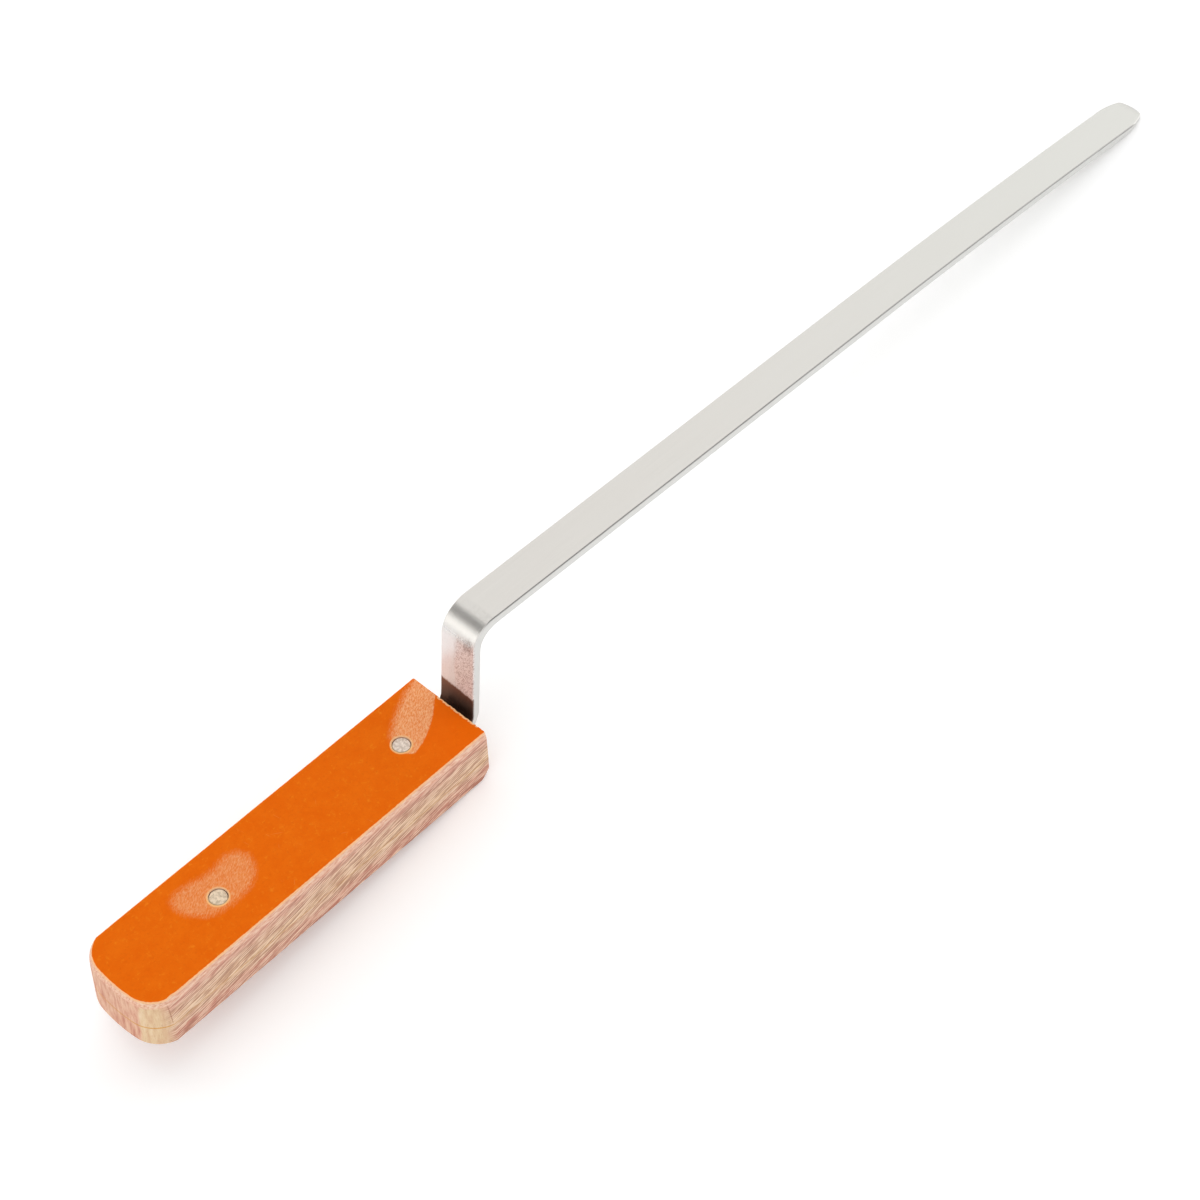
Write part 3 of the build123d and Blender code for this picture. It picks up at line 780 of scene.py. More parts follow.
def wood_colour(L):
    """Bare wood, laid out in tool millimetres: colour bands along the handle, fine sloping grain, fibres."""
    p = L.attr("tool")
    x, y, z = L.sep(p)
    wander = L.m("MULTIPLY", L.m("SUBTRACT", L.noise(L.map(p, (0.022, 0.05, 0.09), loc=(3, 1, 2)), 1.0, 2.0), 0.5), 6.0)
    level = L.m("DIVIDE", L.m("ADD", z, wander), 19.3)
    c = L.ramp(
        level,
        [
            (0.0, rgb(190, 130, 112)), (0.10, rgb(204, 142, 124)), (0.24, rgb(210, 150, 132)), (0.32, rgb(204, 160, 138)),
            (0.40, rgb(214, 178, 148)), (0.50, rgb(224, 192, 158)), (0.60, rgb(216, 182, 154)), (0.72, rgb(216, 176, 152)),
            (0.82, rgb(216, 168, 150)), (0.92, rgb(222, 174, 156)), (1.0, rgb(226, 182, 160)),
        ],
    )
    # the grain climbs towards the front, steepest in the middle of the handle
    u = L.m("ADD", x, 60)
    fore, aft = L.m("MAXIMUM", u, 0.0), L.m("MINIMUM", u, 0.0)
    lean = L.m("ADD", L.m("MULTIPLY", u, -0.27), L.m("SUBTRACT", L.m("MULTIPLY", L.m("MULTIPLY", fore, fore), 0.00183), L.m("MULTIPLY", L.m("MULTIPLY", aft, aft), 0.00108)))
    v = L.m("ADD", z, L.m("ADD", lean, L.m("MULTIPLY", wander, 0.35)))
    shallow = L.m("ADD", z, L.m("MULTIPLY", x, -0.10))
    streak = L.noise(L.vec(L.m("MULTIPLY", x, 0.035), L.m("MULTIPLY", y, 0.12), L.m("MULTIPLY", shallow, 0.75)), 1.0, 3.0, 0.55)
    mid = L.m("MULTIPLY", L.step(z, 4.5, 8.0), L.m("SUBTRACT", 1.0, L.step(z, 12.5, 15.5)))
    c = L.mix(L.m("MULTIPLY", L.m("MULTIPLY", L.step(streak, 0.50, 0.62), mid), 0.42), c, rgb(232, 206, 168))
    c = L.mix(L.m("MULTIPLY", L.m("SUBTRACT", 1.0, L.step(streak, 0.34, 0.46)), 0.5), c, rgb(190, 132, 116))
    lines = L.noise(L.vec(L.m("MULTIPLY", x, 0.19), L.m("MULTIPLY", y, 0.8), L.m("MULTIPLY", v, 1.45)), 1.0, 2.0, 0.55)
    lines2 = L.noise(L.vec(L.m("MULTIPLY", x, 0.30), L.m("MULTIPLY", y, 1.2), L.m("MULTIPLY", v, 2.6)), 1.0, 2.0, 0.5)
    drift = L.noise(L.vec(L.m("MULTIPLY", x, 0.06), L.m("MULTIPLY", y, 0.3), L.m("MULTIPLY", v, 0.35)), 1.0, 2.0, 0.5)
    ripple = L.m("SINE", L.m("ADD", L.m("MULTIPLY", v, 7.2), L.m("MULTIPLY", drift, 16.0)))
    lines = L.m("ADD", L.m("MULTIPLY", lines, 0.62), L.m("ADD", 0.19, L.m("MULTIPLY", ripple, 0.075)))
    broad = L.noise(L.vec(L.m("MULTIPLY", x, 0.05), L.m("MULTIPLY", y, 0.25), L.m("MULTIPLY", v, 0.5)), 1.0, 2.0, 0.5)
    end = L.m("SUBTRACT", 1.0, L.step(x, -124.6, -119.9))
    facet = L.step(L.m("ADD", z, L.m("MULTIPLY", L.m("SUBTRACT", streak, 0.5), 1.4)), 16.8, 17.7)
    calm = L.m("MULTIPLY", L.m("SUBTRACT", 1.0, L.m("MULTIPLY", facet, 0.65)), L.m("SUBTRACT", 1.0, L.m("MULTIPLY", end, 0.85)))
    strong = L.lin(broad, 0.35, 0.6, 0.75, 1.0)
    c = L.mix(L.m("MULTIPLY", L.m("MULTIPLY", L.step(lines, 0.50, 0.59), 0.66), L.m("MULTIPLY", calm, strong)), c, rgb(160, 116, 96))
    c = L.mix(L.m("MULTIPLY", L.m("MULTIPLY", L.step(lines2, 0.53, 0.62), 0.32), calm), c, rgb(150, 104, 86))
    c = L.mix(L.m("MULTIPLY", L.m("MULTIPLY", L.m("SUBTRACT", 1.0, L.step(lines, 0.41, 0.50)), 0.70), calm), c, rgb(248, 230, 204))
    # end grain at the butt: yellow sapwood at the corners, pink between, in upright streaks
    jig = L.m("MULTIPLY", L.m("SUBTRACT", L.noise(L.map(p, (0.2, 0.5, 0.16), loc=(2, 2, 2)), 1.0, 2.0), 0.5), 3.2)
    far_y = L.m("ADD", L.m("ABSOLUTE", y), jig)
    corner_r = L.m("MULTIPLY", L.step(far_y, 8.6, 10.0), L.m("SUBTRACT", 1.0, L.step(y, -2, 2)))
    corner_l = L.m("MULTIPLY", L.step(far_y, 12.4, 13.6), L.step(y, -2, 2))
    up = L.noise(L.map(p, (0.5, 0.75, 0.13), rot=(math.radians(8), 0, 0)), 1.0, 5.0, 0.62)
    up2 = L.noise(L.map(p, (0.5, 4.2, 0.5), loc=(4, 0, 0)), 1.0, 3.0, 0.6)
    pink_end = L.ramp(up, [(0.30, rgb(208, 140, 118)), (0.44, rgb(228, 176, 150)), (0.54, rgb(240, 200, 172)), (0.68, rgb(250, 222, 190))])
    yel_end = L.ramp(up, [(0.30, rgb(230, 196, 158)), (0.5, rgb(242, 222, 180)), (0.68, rgb(250, 236, 202))])
    e = L.mix(L.m("ADD", corner_r, corner_l), pink_end, yel_end)
    e = L.mix(L.m("MULTIPLY", L.step(up2, 0.55, 0.72), 0.35), e, rgb(186, 122, 98))
    e = L.mix(1.0, e, (0.86, 0.83, 0.83), "MULTIPLY")
    c = L.mix(end, c, e)
    # a darker line down the crease where the side was sanded into the butt
    crease = L.m("ABSOLUTE", L.m("ADD", x, L.m("ADD", 121.2, L.m("ADD", L.m("MULTIPLY", jig, 0.16), L.m("MULTIPLY", L.m("SUBTRACT", z, 12.0), 0.06)))))
    crease = L.m("MULTIPLY", L.m("SUBTRACT", 1.0, L.step(crease, 0.04, 0.20)), L.step(z, 8.4, 10))
    c = L.mix(L.m("MULTIPLY", crease, 0.6), c, rgb(150, 92, 62))
    # the sanded facet is paler and rougher, with a thin bright line where it meets the coat
    rasp = L.noise(L.map(p, (0.42, 1.6, 2.6), rot=(0, math.radians(14), 0)), 1.0, 4.0, 0.68)
    f = L.ramp(rasp, [(0.34, rgb(216, 156, 134)), (0.47, rgb(240, 192, 166)), (0.60, rgb(255, 232, 210))])
    c = L.mix(L.m("MULTIPLY", facet, 0.8), c, f)
    groove = L.m("MULTIPLY", L.step(z, 15.0, 16.0), L.m("SUBTRACT", 1.0, L.step(z, 16.6, 17.4)))
    groove = L.m("MULTIPLY", groove, L.m("SUBTRACT", 1.0, end))
    c = L.mix(L.m("MULTIPLY", groove, L.lin(streak, 0.35, 0.65, 0.40, 0.0)), c, rgb(206, 140, 124))
    c = L.mix(L.m("MULTIPLY", L.step(z, 18.62, 18.95), 0.85), c, rgb(255, 208, 152))
    # glue drawn into the wood beside the joint, thickest at the butt's right corner
    joint = L.m("ABSOLUTE", L.m("SUBTRACT", z, 8.1))
    thick = L.m("ADD", 0.22, L.m("MULTIPLY", L.m("SUBTRACT", up2, 0.5), 0.25))
    joint = L.m("SUBTRACT", 1.0, L.step(joint, L.m("MULTIPLY", thick, 0.6), L.m("ADD", thick, 0.06)))
    amount = L.m("ADD", L.m("MULTIPLY", end, 0.78), 0.16)
    c = L.mix(L.m("MULTIPLY", joint, amount), c, L.mix(L.step(y, -4, 8), rgb(206, 146, 44), rgb(240, 168, 88)))
    fibre = L.noise(L.vec(L.m("MULTIPLY", x, 0.45), L.m("MULTIPLY", y, 3.0), L.m("MULTIPLY", v, 7.0)), 1.0, 3.0, 0.6)
    c = L.mix(L.m("MULTIPLY", L.step(fibre, 0.52, 0.72), 0.30), c, rgb(244, 222, 196))
    return c, lines, lines2, fibre, rasp, facet, p


def wood_material():
    L = Look("bare_wood")
    c, lines, lines2, fibre, rasp, facet, p = wood_colour(L)
    c = L.mix(1.0, c, WOOD_GAIN, "MULTIPLY")
    L.put(L.b.inputs["Base Color"], c)
    rough = L.lin(L.noise(L.map(p, (0.2, 0.8, 2.0)), 1.0, 3.0), 0.3, 0.7, 0.58, 0.78)
    L.put(L.b.inputs["Roughness"], rough)
    L.b.inputs["Specular IOR Level"].default_value = 0.2
    h = L.m("ADD", L.m("MULTIPLY", lines, -0.8), L.m("ADD", L.m("MULTIPLY", lines2, -0.6), L.m("MULTIPLY", fibre, 0.5)))
    h = L.m("ADD", h, L.m("MULTIPLY", L.m("MULTIPLY", rasp, facet), 1.4))
    sand = L.noise(p, 3.0, 3.0, 0.6)
    L.put(L.b.inputs["Normal"], L.bump(sand, 0.00006, 0.6, L.bump(h, 0.00016, 0.9)))
    return L.mat


def coat_material():
    """Orange coat over the wood, rubbed through where the pins were sanded flush and along the edges."""
    L = Look("orange_coat")
    p = L.attr("tool")
    x, y, z = L.sep(p)
    top = L.step(z, 10, 12)
    # the coat itself
    mott = L.noise(L.map(p, (0.20, 0.20, 0.2)), 1.0, 4.0, 0.7)
    fine = L.noise(L.map(p, (0.9, 0.9, 0.9)), 1.0, 3.0, 0.6)
    c = L.mix(L.step(mott, 0.3, 0.75), rgb(228, 100, 1), rgb(232, 108, 6))
    spots = L.step(L.noise(L.map(p, (0.8, 0.8, 0.8), loc=(7, 3, 1)), 1.0, 3.0, 0.6), 0.56, 0.76)
    c = L.mix(L.m("MULTIPLY", spots, 0.55), c, rgb(238, 134, 28))
    dull = L.step(L.noise(L.map(p, (1.3, 1.3, 1.3), loc=(1, 9, 4)), 1.0, 3.0, 0.6), 0.54, 0.70)
    c = L.mix(L.m("MULTIPLY", dull, 0.35), c, rgb(212, 92, 8))
    # painted light: the coat beside the riser's foot is painted a brighter orange to make up for the riser's shade
    riser_fill_paint = L.m("MULTIPLY", L.step(x, -26, -2), L.m("SUBTRACT", 1.0, L.step(y, -4, 8)))
    c = L.mix(L.m("MULTIPLY", riser_fill_paint, 0.7), c, rgb(240, 101, 3))
    c = L.mix(L.m("MULTIPLY", L.step(fine, 0.45, 0.75), 0.12), c, rgb(205, 84, 6))
    # a few faint scratches
    sc = None
    for ang, lx, loc in ((34, 0.10, (3, 8, 0)), (-52, 0.16, (11, 2, 0)), (78, 0.13, (6, 15, 0))):
        n = L.noise(L.map(L.map(p, rot=(0, 0, math.radians(ang))), (lx, 3.4, 0.01), loc=loc), 1.0, 1.0, 0.4)
        s = L.step(n, 0.765, 0.80)
        sc = s if sc is None else L.m("MAXIMUM", sc, s)
    sc = L.m("MULTIPLY", sc, L.m("MULTIPLY", L.step(x, -80, -70), L.m("SUBTRACT", 1.0, L.step(x, -45, -35))))
    c = L.mix(L.m("MULTIPLY", sc, 0.45), c, rgb(246, 160, 84))
    # wood seen where the coat is rubbed away
    along = L.map(p, rot=(0, 0, math.radians(-33)))
    rub = L.noise(L.map(along, (1.0, 2.9, 1.0)), 1.0, 4.0, 0.7)
    rub2 = L.noise(L.map(p, (1.0, 3.2, 1.0)), 1.0, 4.0, 0.7)
    rag = L.m("MULTIPLY", L.m("SUBTRACT", rub, 0.5), 0.8)
    front = L.m("ADD", L.attr("patch_front", "Fac"), L.m("MULTIPLY", rag, 0.6))
    rear = L.m("ADD", L.attr("patch_rear", "Fac"), L.m("ADD", rag, L.m("MULTIPLY", L.m("SUBTRACT", rub2, 0.5), 0.7)))
    front = L.step(front, 0.15, 0.85)
    rear = L.m("MULTIPLY", L.step(rear, 0.0, 1.25), 0.85)
    bare = L.mix(L.step(rub, 0.35, 0.65), rgb(228, 136, 74), rgb(242, 176, 122))
    bare = L.mix(L.m("MULTIPLY", front, 0.6), bare, L.mix(L.step(rub, 0.35, 0.65), rgb(236, 156, 98), rgb(255, 206, 158)))
    bare = L.mix(L.m("MULTIPLY", L.step(rub2, 0.54, 0.66), 0.35), bare, rgb(214, 118, 56))
    patch = L.m("MULTIPLY", L.m("MAXIMUM", front, rear), L.lin(L.m("ADD", L.m("MULTIPLY", rub, 0.5), L.m("MULTIPLY", rub2, 0.5)), 0.35, 0.62, 0.42, 0.98))
    c = L.mix(patch, c, bare)
    # a ring of bare wood round each pin, a thin worn line at the edges, and chips at the front
    ring = None
    for px in PINS:
        dx, dy = L.m("SUBTRACT", x, px), y
        lean = L.m("MULTIPLY", L.m("ADD", dx, dy), 0.05)
        r = L.m("SQRT", L.m("ADD", L.m("MULTIPLY", dx, dx), L.m("MULTIPLY", dy, dy)))
        k = L.m("SUBTRACT", 1.0, L.step(L.m("ADD", r, lean), 3.12, 3.5))
        ring = k if ring is None else L.m("MAXIMUM", ring, k)
    c = L.mix(ring, c, rgb(246, 186, 122))
    inner = None
    for px in PINS:
        dx = L.m("SUBTRACT", x, px)
        r = L.m("SQRT", L.m("ADD", L.m("MULTIPLY", dx, dx), L.m("MULTIPLY", y, y)))
        k = L.m("SUBTRACT", 1.0, L.step(r, 2.78, 2.92))
        inner = k if inner is None else L.m("MAXIMUM", inner, k)
    # painted shade: the far wall of each pin hole is painted dark brown, the near wall a paler bare-wood brown
    shaded_far_side = L.step(L.m("ADD", L.m("MULTIPLY", L.m("SUBTRACT", x, L.m("ADD", L.m("MULTIPLY", L.step(x, -55, -54), 70.2), -89.4)), 0.75), L.m("MULTIPLY", y, 0.65)), -0.6, 1.4)
    c = L.mix(L.m("MULTIPLY", inner, L.m("ADD", 0.35, L.m("MULTIPLY", shaded_far_side, 0.6))), c, L.mix(shaded_far_side, rgb(190, 130, 78), rgb(52, 34, 16)))
    edge = L.attr("edge_mm", "Fac")
    worn = L.m("SUBTRACT", 1.0, L.step(L.m("ADD", edge, L.m("MULTIPLY", L.m("SUBTRACT", fine, 0.5), 0.35)), 0.02, 0.22))
    worn = L.m("MULTIPLY", worn, L.m("SUBTRACT", 1.0, L.step(x, -1.5, -0.8)))
    chip = L.step(L.m("ADD", L.attr("chip", "Fac"), L.m("MULTIPLY", L.m("SUBTRACT", fine, 0.5), 0.12)), 0.06, 0.20)
    c = L.mix(L.m("MULTIPLY", L.m("MAXIMUM", worn, chip), 0.85), c, rgb(255, 206, 150))
    c = L.mix(L.m("SUBTRACT", 1.0, top), c, L.mix(0.75, c, rgb(124, 92, 66)))
    c = L.mix(1.0, c, (COAT_GAIN, COAT_GAIN, COAT_GAIN), "MULTIPLY")
    L.put(L.b.inputs["Base Color"], c)
    wood = L.m("MAXIMUM", patch, L.m("MAXIMUM", ring, chip))
    base_r = L.lin(fine, 0.3, 0.7, 0.42, 0.5)
    L.put(L.b.inputs["Roughness"], L.m("ADD", base_r, L.m("MULTIPLY", wood, 0.2)))
    L.b.inputs["Specular IOR Level"].default_value = 0.035
    h = L.m("ADD", L.m("MULTIPLY", fine, 0.35), L.m("ADD", L.m("MULTIPLY", rub, L.m("MULTIPLY", wood, 0.9)), L.m("MULTIPLY", sc, -0.8)))
    L.put(L.b.inputs["Normal"], L.bump(h, 0.00005, 0.7))
    return L.mat


def steel_material():
    """Satin flat bar: fine lengthwise brushing, with painted reflections and a heat tint on the riser."""
    L = Look("satin_steel")
    q = L.attr("bar")
    s, y, h = L.sep(q)
    brush = L.noise(L.map(q, (0.035, 7.0, 7.0)), 1.0, 3.0, 0.6)
    brush2 = L.noise(L.map(q, (0.10, 22.0, 22.0)), 1.0, 2.0, 0.5)
    cloud = L.noise(L.map(q, (0.03, 0.16, 0.3)), 1.0, 3.0, 0.55)
    grit = L.noise(L.map(q, (2.2, 2.6, 2.6)), 1.0, 3.0, 0.6)
    side = L.step(L.m("ABSOLUTE", y), 6.0, 6.3)
    c = L.mix(L.step(brush, 0.25, 0.75), (0.590, 0.568, 0.535), (0.622, 0.600, 0.566))
    c = L.mix(L.m("MULTIPLY", L.step(cloud, 0.35, 0.7), 0.3), c, (0.628, 0.612, 0.586))
    c = L.mix(L.m("MULTIPLY", L.step(s, S_BLADE, S_END), 0.7), c, (0.632, 0.636, 0.602))
    c = L.mix(L.m("MULTIPLY", side, 0.7), c, (0.70, 0.70, 0.685))
    # riser and lower bend: painted reflection, the orange handle top mirrored as a pinkish tint on the right and the
    # white floor as a pale patch on the left, with brown specks on the right
    outer = L.step(h, 0.6, 1.3)
    rise = L.m("MULTIPLY", L.step(s, S_BEND1, S_BEND1 + 4), L.m("SUBTRACT", 1.0, L.step(s, S_BEND2 - 1, S_BEND2 + 4)))
    face = L.m("MULTIPLY", rise, outer)
    riser_wobble = L.noise(L.map(q, (0.07, 0.55, 0.5), loc=(1, 5, 2)), 1.0, 3.0, 0.6)
    shade = L.m("ADD", y, L.m("MULTIPLY", L.m("SUBTRACT", riser_wobble, 0.5), 7.0))
    left = L.step(shade, -1.5, 2.5)
    c = L.mix(L.m("MULTIPLY", face, 0.85), c, L.mix(left, (0.76, 0.70, 0.675), (0.755, 0.76, 0.755)))
    pale_reflection = L.m("MULTIPLY", L.step(L.m("ADD", shade, L.m("MULTIPLY", L.m("SUBTRACT", s, S_RISER), 0.12)), 3.0, 6.5), 0.8)
    c = L.mix(L.m("MULTIPLY", face, pale_reflection), c, (0.82, 0.81, 0.80))
    speck = L.step(L.noise(L.map(q, (2.4, 2.9, 1.0), loc=(8, 1, 1)), 1.0, 4.0, 0.72), 0.505, 0.555)
    right = L.m("SUBTRACT", 1.0, left)
    c = L.mix(L.m("MULTIPLY", face, L.m("MULTIPLY", L.m("ADD", 0.15, L.m("MULTIPLY", right, 0.85)), L.m("MULTIPLY", speck, 0.72))), c, (0.30, 0.20, 0.17))
    # brown heat mark high on the riser's right
    ds = L.m("DIVIDE", L.m("SUBTRACT", s, S_BEND2 + 0.3), 3.0)
    dy = L.m("DIVIDE", L.m("ADD", y, 3.8), 2.6)
    blot = L.m("SQRT", L.m("ADD", L.m("MULTIPLY", ds, ds), L.m("MULTIPLY", dy, dy)))
    blot = L.m("SUBTRACT", 1.0, L.step(L.m("ADD", blot, L.m("MULTIPLY", L.m("SUBTRACT", riser_wobble, 0.5), 1.8)), 0.2, 1.1))
    c = L.mix(L.m("MULTIPLY", blot, L.m("MULTIPLY", outer, L.m("ADD", 0.25, L.m("MULTIPLY", speck, 0.45)))), c, (0.17, 0.12, 0.10))
    # dark brown where the bar goes into the handle: partly heat tint, partly a painted reflection of the handle's
    # shaded front face
    depth = L.m("ADD", L.m("ADD", s, L.m("MULTIPLY", y, -0.06)), L.m("MULTIPLY", L.m("SUBTRACT", L.noise(L.map(q, (0.4, 1.2, 1.0)), 1.0, 3.0, 0.6), 0.5), 1.4))
    low = L.m("SUBTRACT", 1.0, L.step(depth, S_RISER + 6.6, S_RISER + 7.8))
    low = L.m("MULTIPLY", L.m("MULTIPLY", low, outer), L.step(s, S_BEND1 - 3, S_BEND1 + 2))
    reflection_and_tint = L.mix(L.step(L.m("ADD", s, L.m("MULTIPLY", y, 0.35)), S_RISER - 2, S_RISER + 8), (0.040, 0.014, 0.006), (0.165, 0.070, 0.040))
    reflection_and_tint = L.mix(L.m("MULTIPLY", L.step(L.noise(L.map(q, (0.5, 3.5, 1.0)), 1.0, 3.0, 0.6), 0.5, 0.7), 0.4), reflection_and_tint, (0.20, 0.10, 0.06))
    c = L.mix(L.m("MULTIPLY", low, 0.96), c, reflection_and_tint)
    # the outside of the upper bend is scuffed, most on its right
    scuff = L.m("MULTIPLY", L.step(s, S_BLADE - 5.6, S_BLADE - 2.6), L.m("SUBTRACT", 1.0, L.step(s, S_BLADE - 0.6, S_BLADE + 0.4)))
    scuff = L.m("MULTIPLY", scuff, L.step(h, 0.6, 1.3))
    marks = L.step(L.noise(L.map(q, (3.0, 6.5, 1.0), loc=(2, 7, 3)), 1.0, 3.0, 0.6), 0.40, 0.66)
    c = L.mix(L.m("MULTIPLY", scuff, L.m("MULTIPLY", marks, L.lin(y, -6, 6, 0.22, 0.05))), c, (0.20, 0.197, 0.19))
    # painted reflection: a dark line along the top's right arris, standing in for the dim surroundings it mirrors
    arris_reflection = L.m("MULTIPLY", L.step(L.m("MULTIPLY", y, -1.0), 6.00, 6.10), L.m("MULTIPLY", L.step(h, 1.05, 1.22), L.step(s, S_BEND2 + 5, S_BLADE)))
    c = L.mix(L.m("MULTIPLY", arris_reflection, L.lin(brush, 0.3, 0.7, 0.55, 0.80)), c, (0.16, 0.155, 0.15))
    lip = L.step(s, S_END - 0.35, S_END - 0.1)
    c = L.mix(L.m("MULTIPLY", lip, 0.5), c, (0.22, 0.215, 0.205))
    dirt = L.step(grit, 0.66, 0.78)
    c = L.mix(L.m("MULTIPLY", dirt, 0.16), c, (0.36, 0.34, 0.31))
    c = L.mix(L.m("MULTIPLY", L.step(s, S_END - 3.0, S_END + 0.2), 0.22), c, (0.45, 0.44, 0.42))
    L.put(L.b.inputs["Base Color"], c)
    # the riser's face is only partly metallic, so that its painted reflections show
    L.put(L.b.inputs["Metallic"], L.m("SUBTRACT", 1.0, L.m("MULTIPLY", face, L.m("SUBTRACT", 0.74, L.m("MULTIPLY", low, 0.3)))))
    r = L.lin(L.m("ADD", L.m("MULTIPLY", brush, 0.6), L.m("MULTIPLY", cloud, 0.4)), 0.3, 0.7, 0.20, 0.27)
    r = L.m("ADD", r, L.m("ADD", L.m("MULTIPLY", face, 0.10), L.m("MULTIPLY", side, 0.10)))
    L.put(L.b.inputs["Roughness"], r)
    b = L.bump(L.m("ADD", L.m("MULTIPLY", brush, 0.6), L.m("MULTIPLY", brush2, 0.4)), 0.000008, 0.5)
    # the bends are rougher, drawn in short streaks
    bent = L.m("MULTIPLY", L.step(s, S_BEND2 - 1, S_BEND2 + 2), L.m("SUBTRACT", 1.0, L.step(s, S_BLADE - 4, S_BLADE - 1)))
    drawn = L.noise(L.map(q, (1.1, 3.2, 1.0), loc=(5, 5, 5)), 1.0, 4.0, 0.7)
    b = L.bump(L.m("MULTIPLY", drawn, L.m("ADD", bent, L.m("MULTIPLY", face, 0.3))), 0.00006, 1.0, b)
    L.put(L.b.inputs["Normal"], L.bump(grit, 0.000012, 0.4, b))
    return L.mat


def pin_material():
    L = Look("ground_pin")
    p = L.attr("tool")
    x, y, z = L.sep(p)
    n = L.noise(L.map(p, (1.1, 1.1, 1.1)), 1.0, 4.0, 0.65)
    fine = L.noise(L.map(p, (5.5, 5.5, 5.5)), 1.0, 3.0, 0.6)
    c = L.mix(L.step(n, 0.36, 0.62), (0.58, 0.48, 0.40), (0.86, 0.76, 0.67))
    c = L.mix(L.m("SUBTRACT", 1.0, L.step(x, -60, -50)), c, L.mix(L.step(n, 0.36, 0.62), (0.56, 0.44, 0.31), (0.85, 0.71, 0.54)))
    c = L.mix(L.m("MULTIPLY", L.step(fine, 0.5, 0.75), 0.35), c, (0.44, 0.38, 0.33))
    L.put(L.b.inputs["Base Color"], c)
    L.b.inputs["Metallic"].default_value = 0.75
    L.put(L.b.inputs["Roughness"], L.lin(n, 0.3, 0.7, 0.48, 0.66))
    scratch = L.noise(L.map(L.map(p, rot=(0, 0, math.radians(-33))), (0.6, 9.0, 1.0)), 1.0, 2.0, 0.5)
    L.put(L.b.inputs["Normal"], L.bump(L.m("ADD", scratch, fine), 0.00008, 0.8))
    return L.mat


def glue_material():
    L = Look("cured_resin")
    p = L.attr("tool")
    x, y, z = L.sep(p)
    n = L.noise(L.map(p, (0.35, 0.35, 1.0)), 1.0, 3.0, 0.6)
    c = L.mix(n, rgb(168, 118, 46), rgb(214, 164, 84))
    # darker and thicker at the butt's right corner, paler along the sides
    end = L.m("SUBTRACT", 1.0, L.step(x, -123.5, -118.5))
    right = L.m("SUBTRACT", 1.0, L.step(y, -12, 2))
    c = L.mix(L.m("MULTIPLY", end, L.m("MULTIPLY", right, 0.8)), c, rgb(214, 154, 50))
    c = L.mix(L.m("MULTIPLY", L.m("SUBTRACT", 1.0, end), L.lin(n, 0.35, 0.65, 0.25, 0.75)), c, rgb(206, 160, 116))
    # painted shade: the top of each pin's resin ring is painted near-black on its far side, where the hole's wall
    # shades it, and pale resin on its near side
    up = L.step(z, 17.5, 18.2)
    px = L.m("ADD", L.m("MULTIPLY", L.step(x, -55, -54), 70.2), -89.4)
    shaded_far_side = L.step(L.m("ADD", L.m("MULTIPLY", L.m("SUBTRACT", x, px), 0.75), L.m("MULTIPLY", y, 0.65)), -0.8, 1.2)
    c = L.mix(up, c, L.mix(shaded_far_side, L.mix(n, rgb(176, 160, 126), rgb(206, 184, 148)), L.mix(L.step(x, -55, -54), rgb(10, 7, 4), rgb(52, 48, 26))))
    L.put(L.b.inputs["Base Color"], c)
    L.put(L.b.inputs["Roughness"], L.lin(n, 0.3, 0.7, 0.35, 0.5))
    L.b.inputs["Specular IOR Level"].default_value = 0.3
    L.put(L.b.inputs["Normal"], L.bump(L.noise(p, 4.0, 3.0, 0.6), 0.00003, 0.5))
    return L.mat


# ------------------------------------------------------------------ build
wood, coat, steel, pin_mat, glue = wood_material(), coat_material(), steel_material(), pin_material(), glue_material()

bar = build_bar()
cut(bar, *[revolve("hole", [(0, 13), (2.8, 13), (2.8, 6.5), (0, 6.5)], p, 96) for p in PINS])


def bar_attributes(co):
    s, h = PATH.locate(co[:, 0], co[:, 2])
    return {"bar": np.stack([s, co[:, 1], h], 1)}


place(bar, "bent_steel_bar", [steel], "steel_blade", 32, bar_attributes)
place(build_upper(), "upper_wood_scale", [wood, coat], "upper_scale", 14, top_attributes)
place(build_lower(), "lower_wood_scale", [wood, coat], "lower_scale", 14,
      lambda co: {"edge_mm": inside_distance(co[:, :2], BASE_EDGE), "patch_front": np.full(len(co), -1.0), "patch_rear": np.full(len(co), -1.0), "chip": np.zeros(len(co))})
place(build_bond(), "scale_glue_line", [glue], "bond_line", 40)
place(build_pin(PINS[0], 21), "front_steel_pin", [pin_mat], "front_pin", 50)
place(build_pin(PINS[1], 27), "rear_steel_pin", [pin_mat], "rear_pin", 50)
place(build_sleeve(PINS[0], 31), "front_pin_resin", [glue], "front_pin_glue", 50)
place(build_sleeve(PINS[1], 37), "rear_pin_resin", [glue], "rear_pin_glue", 50)

# ------------------------------------------------------------------ floor
me = bpy.data.meshes.new("floor")
me.from_pydata([(-8, -8, 0), (8, -8, 0), (8, 8, 0), (-8, 8, 0)], [], [(0, 1, 2, 3)])
floor = bpy.data.objects.new("floor", me)
bpy.context.scene.collection.objects.link(floor)
F = Look("white_floor")
F.b.inputs["Base Color"].default_value = (0.92, 0.92, 0.92, 1)
F.b.inputs["Roughness"].default_value = 0.8
F.b.inputs["Specular IOR Level"].default_value = 0.1
F.b.inputs["Emission Color"].default_value = (1, 1, 1, 1)
F.b.inputs["Emission Strength"].default_value = 0.20
me.materials.append(F.mat)

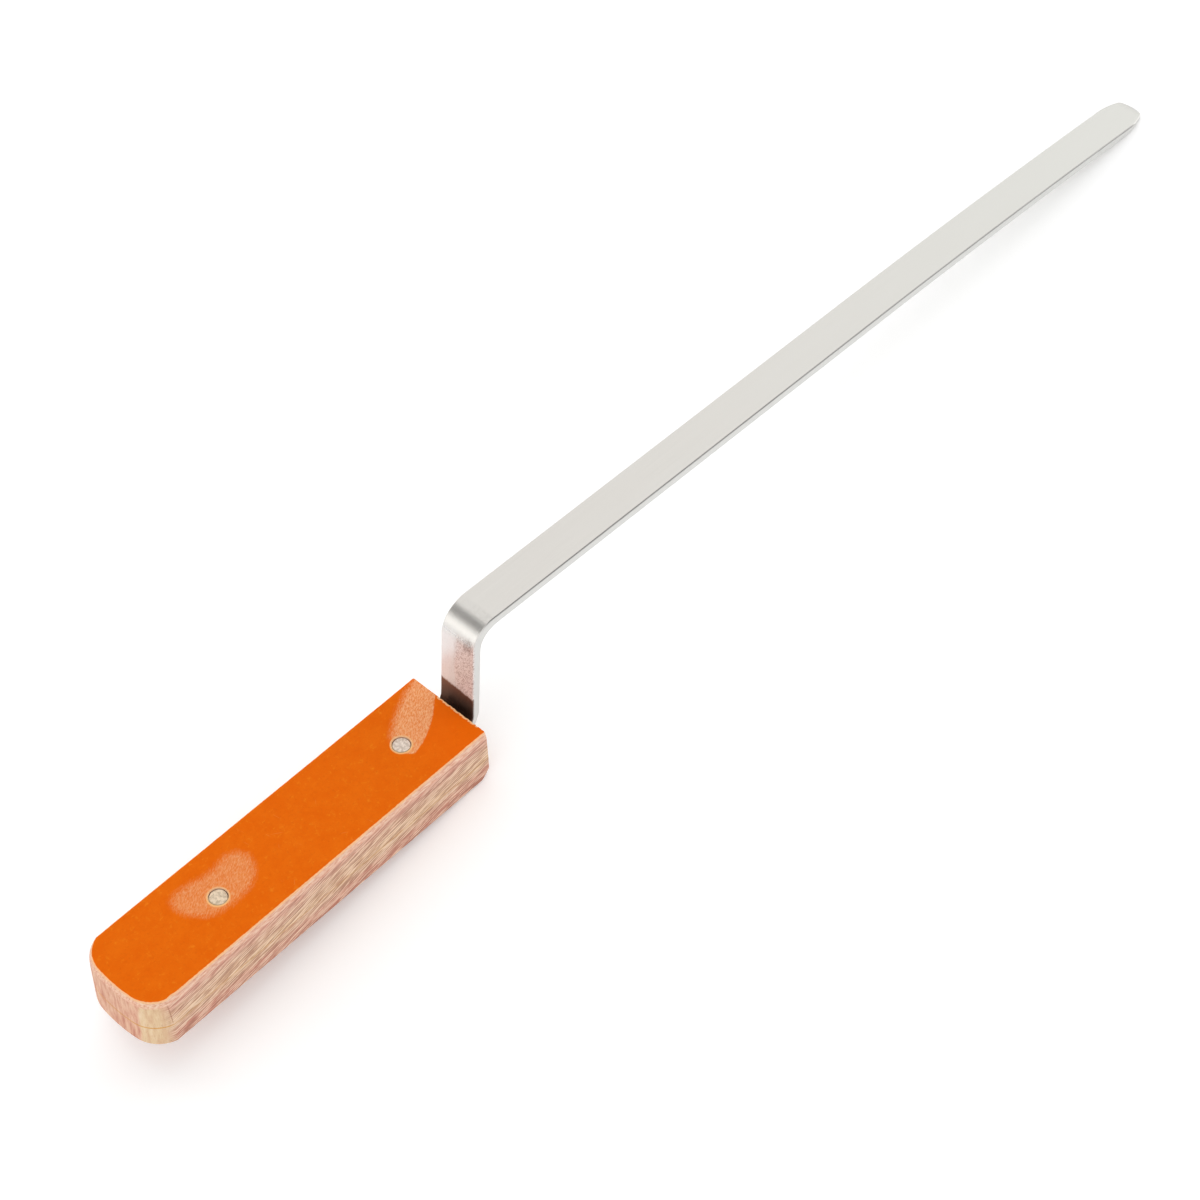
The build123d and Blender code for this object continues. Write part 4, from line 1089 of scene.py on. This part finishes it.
# ------------------------------------------------------------------ light
# A light tent: bright walls all round, the main soft panel in front of the tip, a smaller one behind the handle, and two dim openings overhead.
scene = bpy.context.scene
w = bpy.data.worlds.new("tent")
scene.world = w
w.use_nodes = True
t = w.node_tree
t.nodes.clear()
out = t.nodes.new("ShaderNodeOutputWorld")
bg = t.nodes.new("ShaderNodeBackground")
t.links.new(bg.outputs[0], out.inputs[0])
tc = t.nodes.new("ShaderNodeTexCoord")
sp = t.nodes.new("ShaderNodeSeparateXYZ")
t.links.new(tc.outputs["Generated"], sp.inputs[0])


def wmap(value, lo, hi, a, b):
    n = t.nodes.new("ShaderNodeMapRange")
    n.interpolation_type = "SMOOTHSTEP"
    t.links.new(value, n.inputs["Value"])
    for key, v in (("From Min", lo), ("From Max", hi), ("To Min", a), ("To Max", b)):
        n.inputs[key].default_value = v
    return n.outputs[0]


def wmath(op, a, b):
    n = t.nodes.new("ShaderNodeMath")
    n.operation = op
    for i, v in enumerate((a, b)):
        if isinstance(v, bpy.types.NodeSocket):
            t.links.new(v, n.inputs[i])
        else:
            n.inputs[i].default_value = v
    return n.outputs[0]


def patch(direction, outer, inner, strength):
    """A soft round area of the tent, brighter or dimmer than its walls; outer and inner are its half-angles in degrees."""
    dot = t.nodes.new("ShaderNodeVectorMath")
    dot.operation = "DOT_PRODUCT"
    t.links.new(tc.outputs["Generated"], dot.inputs[0])
    dot.inputs[1].default_value = Vector(direction).normalized()
    return wmap(dot.outputs["Value"], math.cos(math.radians(outer)), math.cos(math.radians(inner)), 0.0, strength)


level = wmath("ADD", patch((0.93, -0.25, 0.27), 34, 20, 0.90), 1.20)
level = wmath("ADD", level, patch((-0.80, 0.44, 0.35), 28, 16, 0.50))
level = wmath("SUBTRACT", level, patch((-0.46, 0.37, 0.81), 28, 17, 0.80))
level = wmath("SUBTRACT", level, patch((0.47, -0.50, 0.73), 34, 22, 1.00))
t.links.new(wmath("MAXIMUM", level, 0.12), bg.inputs["Strength"])
bg.inputs["Color"].default_value = (1.0, 1.0, 1.0, 1)

# ------------------------------------------------------------------ camera
AZ, EL, ROLL = math.radians(42.873), math.radians(50.333), math.radians(-0.182)
fwd = (math.cos(AZ) * math.cos(EL), math.sin(AZ) * math.cos(EL), -math.sin(EL))
right = (math.sin(AZ), -math.cos(AZ), 0.0)
up = (
    right[1] * fwd[2] - right[2] * fwd[1],
    right[2] * fwd[0] - right[0] * fwd[2],
    right[0] * fwd[1] - right[1] * fwd[0],
)
rr = tuple(math.cos(ROLL) * a + math.sin(ROLL) * b for a, b in zip(right, up))
uu = tuple(-math.sin(ROLL) * a + math.cos(ROLL) * b for a, b in zip(right, up))
DIST = 891.711
pos = (69.492 - fwd[0] * DIST, 5.438 - fwd[1] * DIST, -fwd[2] * DIST)
cam_data = bpy.data.cameras.new("camera")
cam = bpy.data.objects.new("camera", cam_data)
scene.collection.objects.link(cam)
cam_data.sensor_width = 36.0
cam_data.lens = 36.0 * 2942.25 / 1200
cam_data.clip_start = 0.01
cam_data.clip_end = 50
X, Y, Z = turned(rr), turned(uu), -turned(fwd)
place_at = Vector(world(np.array(pos)))
cam.matrix_world = Matrix(((X.x, Y.x, Z.x, place_at.x), (X.y, Y.y, Z.y, place_at.y), (X.z, Y.z, Z.z, place_at.z), (0, 0, 0, 1)))
scene.camera = cam
scene.view_settings.view_transform = "Standard"
scene.view_settings.look = "None"

bpy.context.view_layer.update()
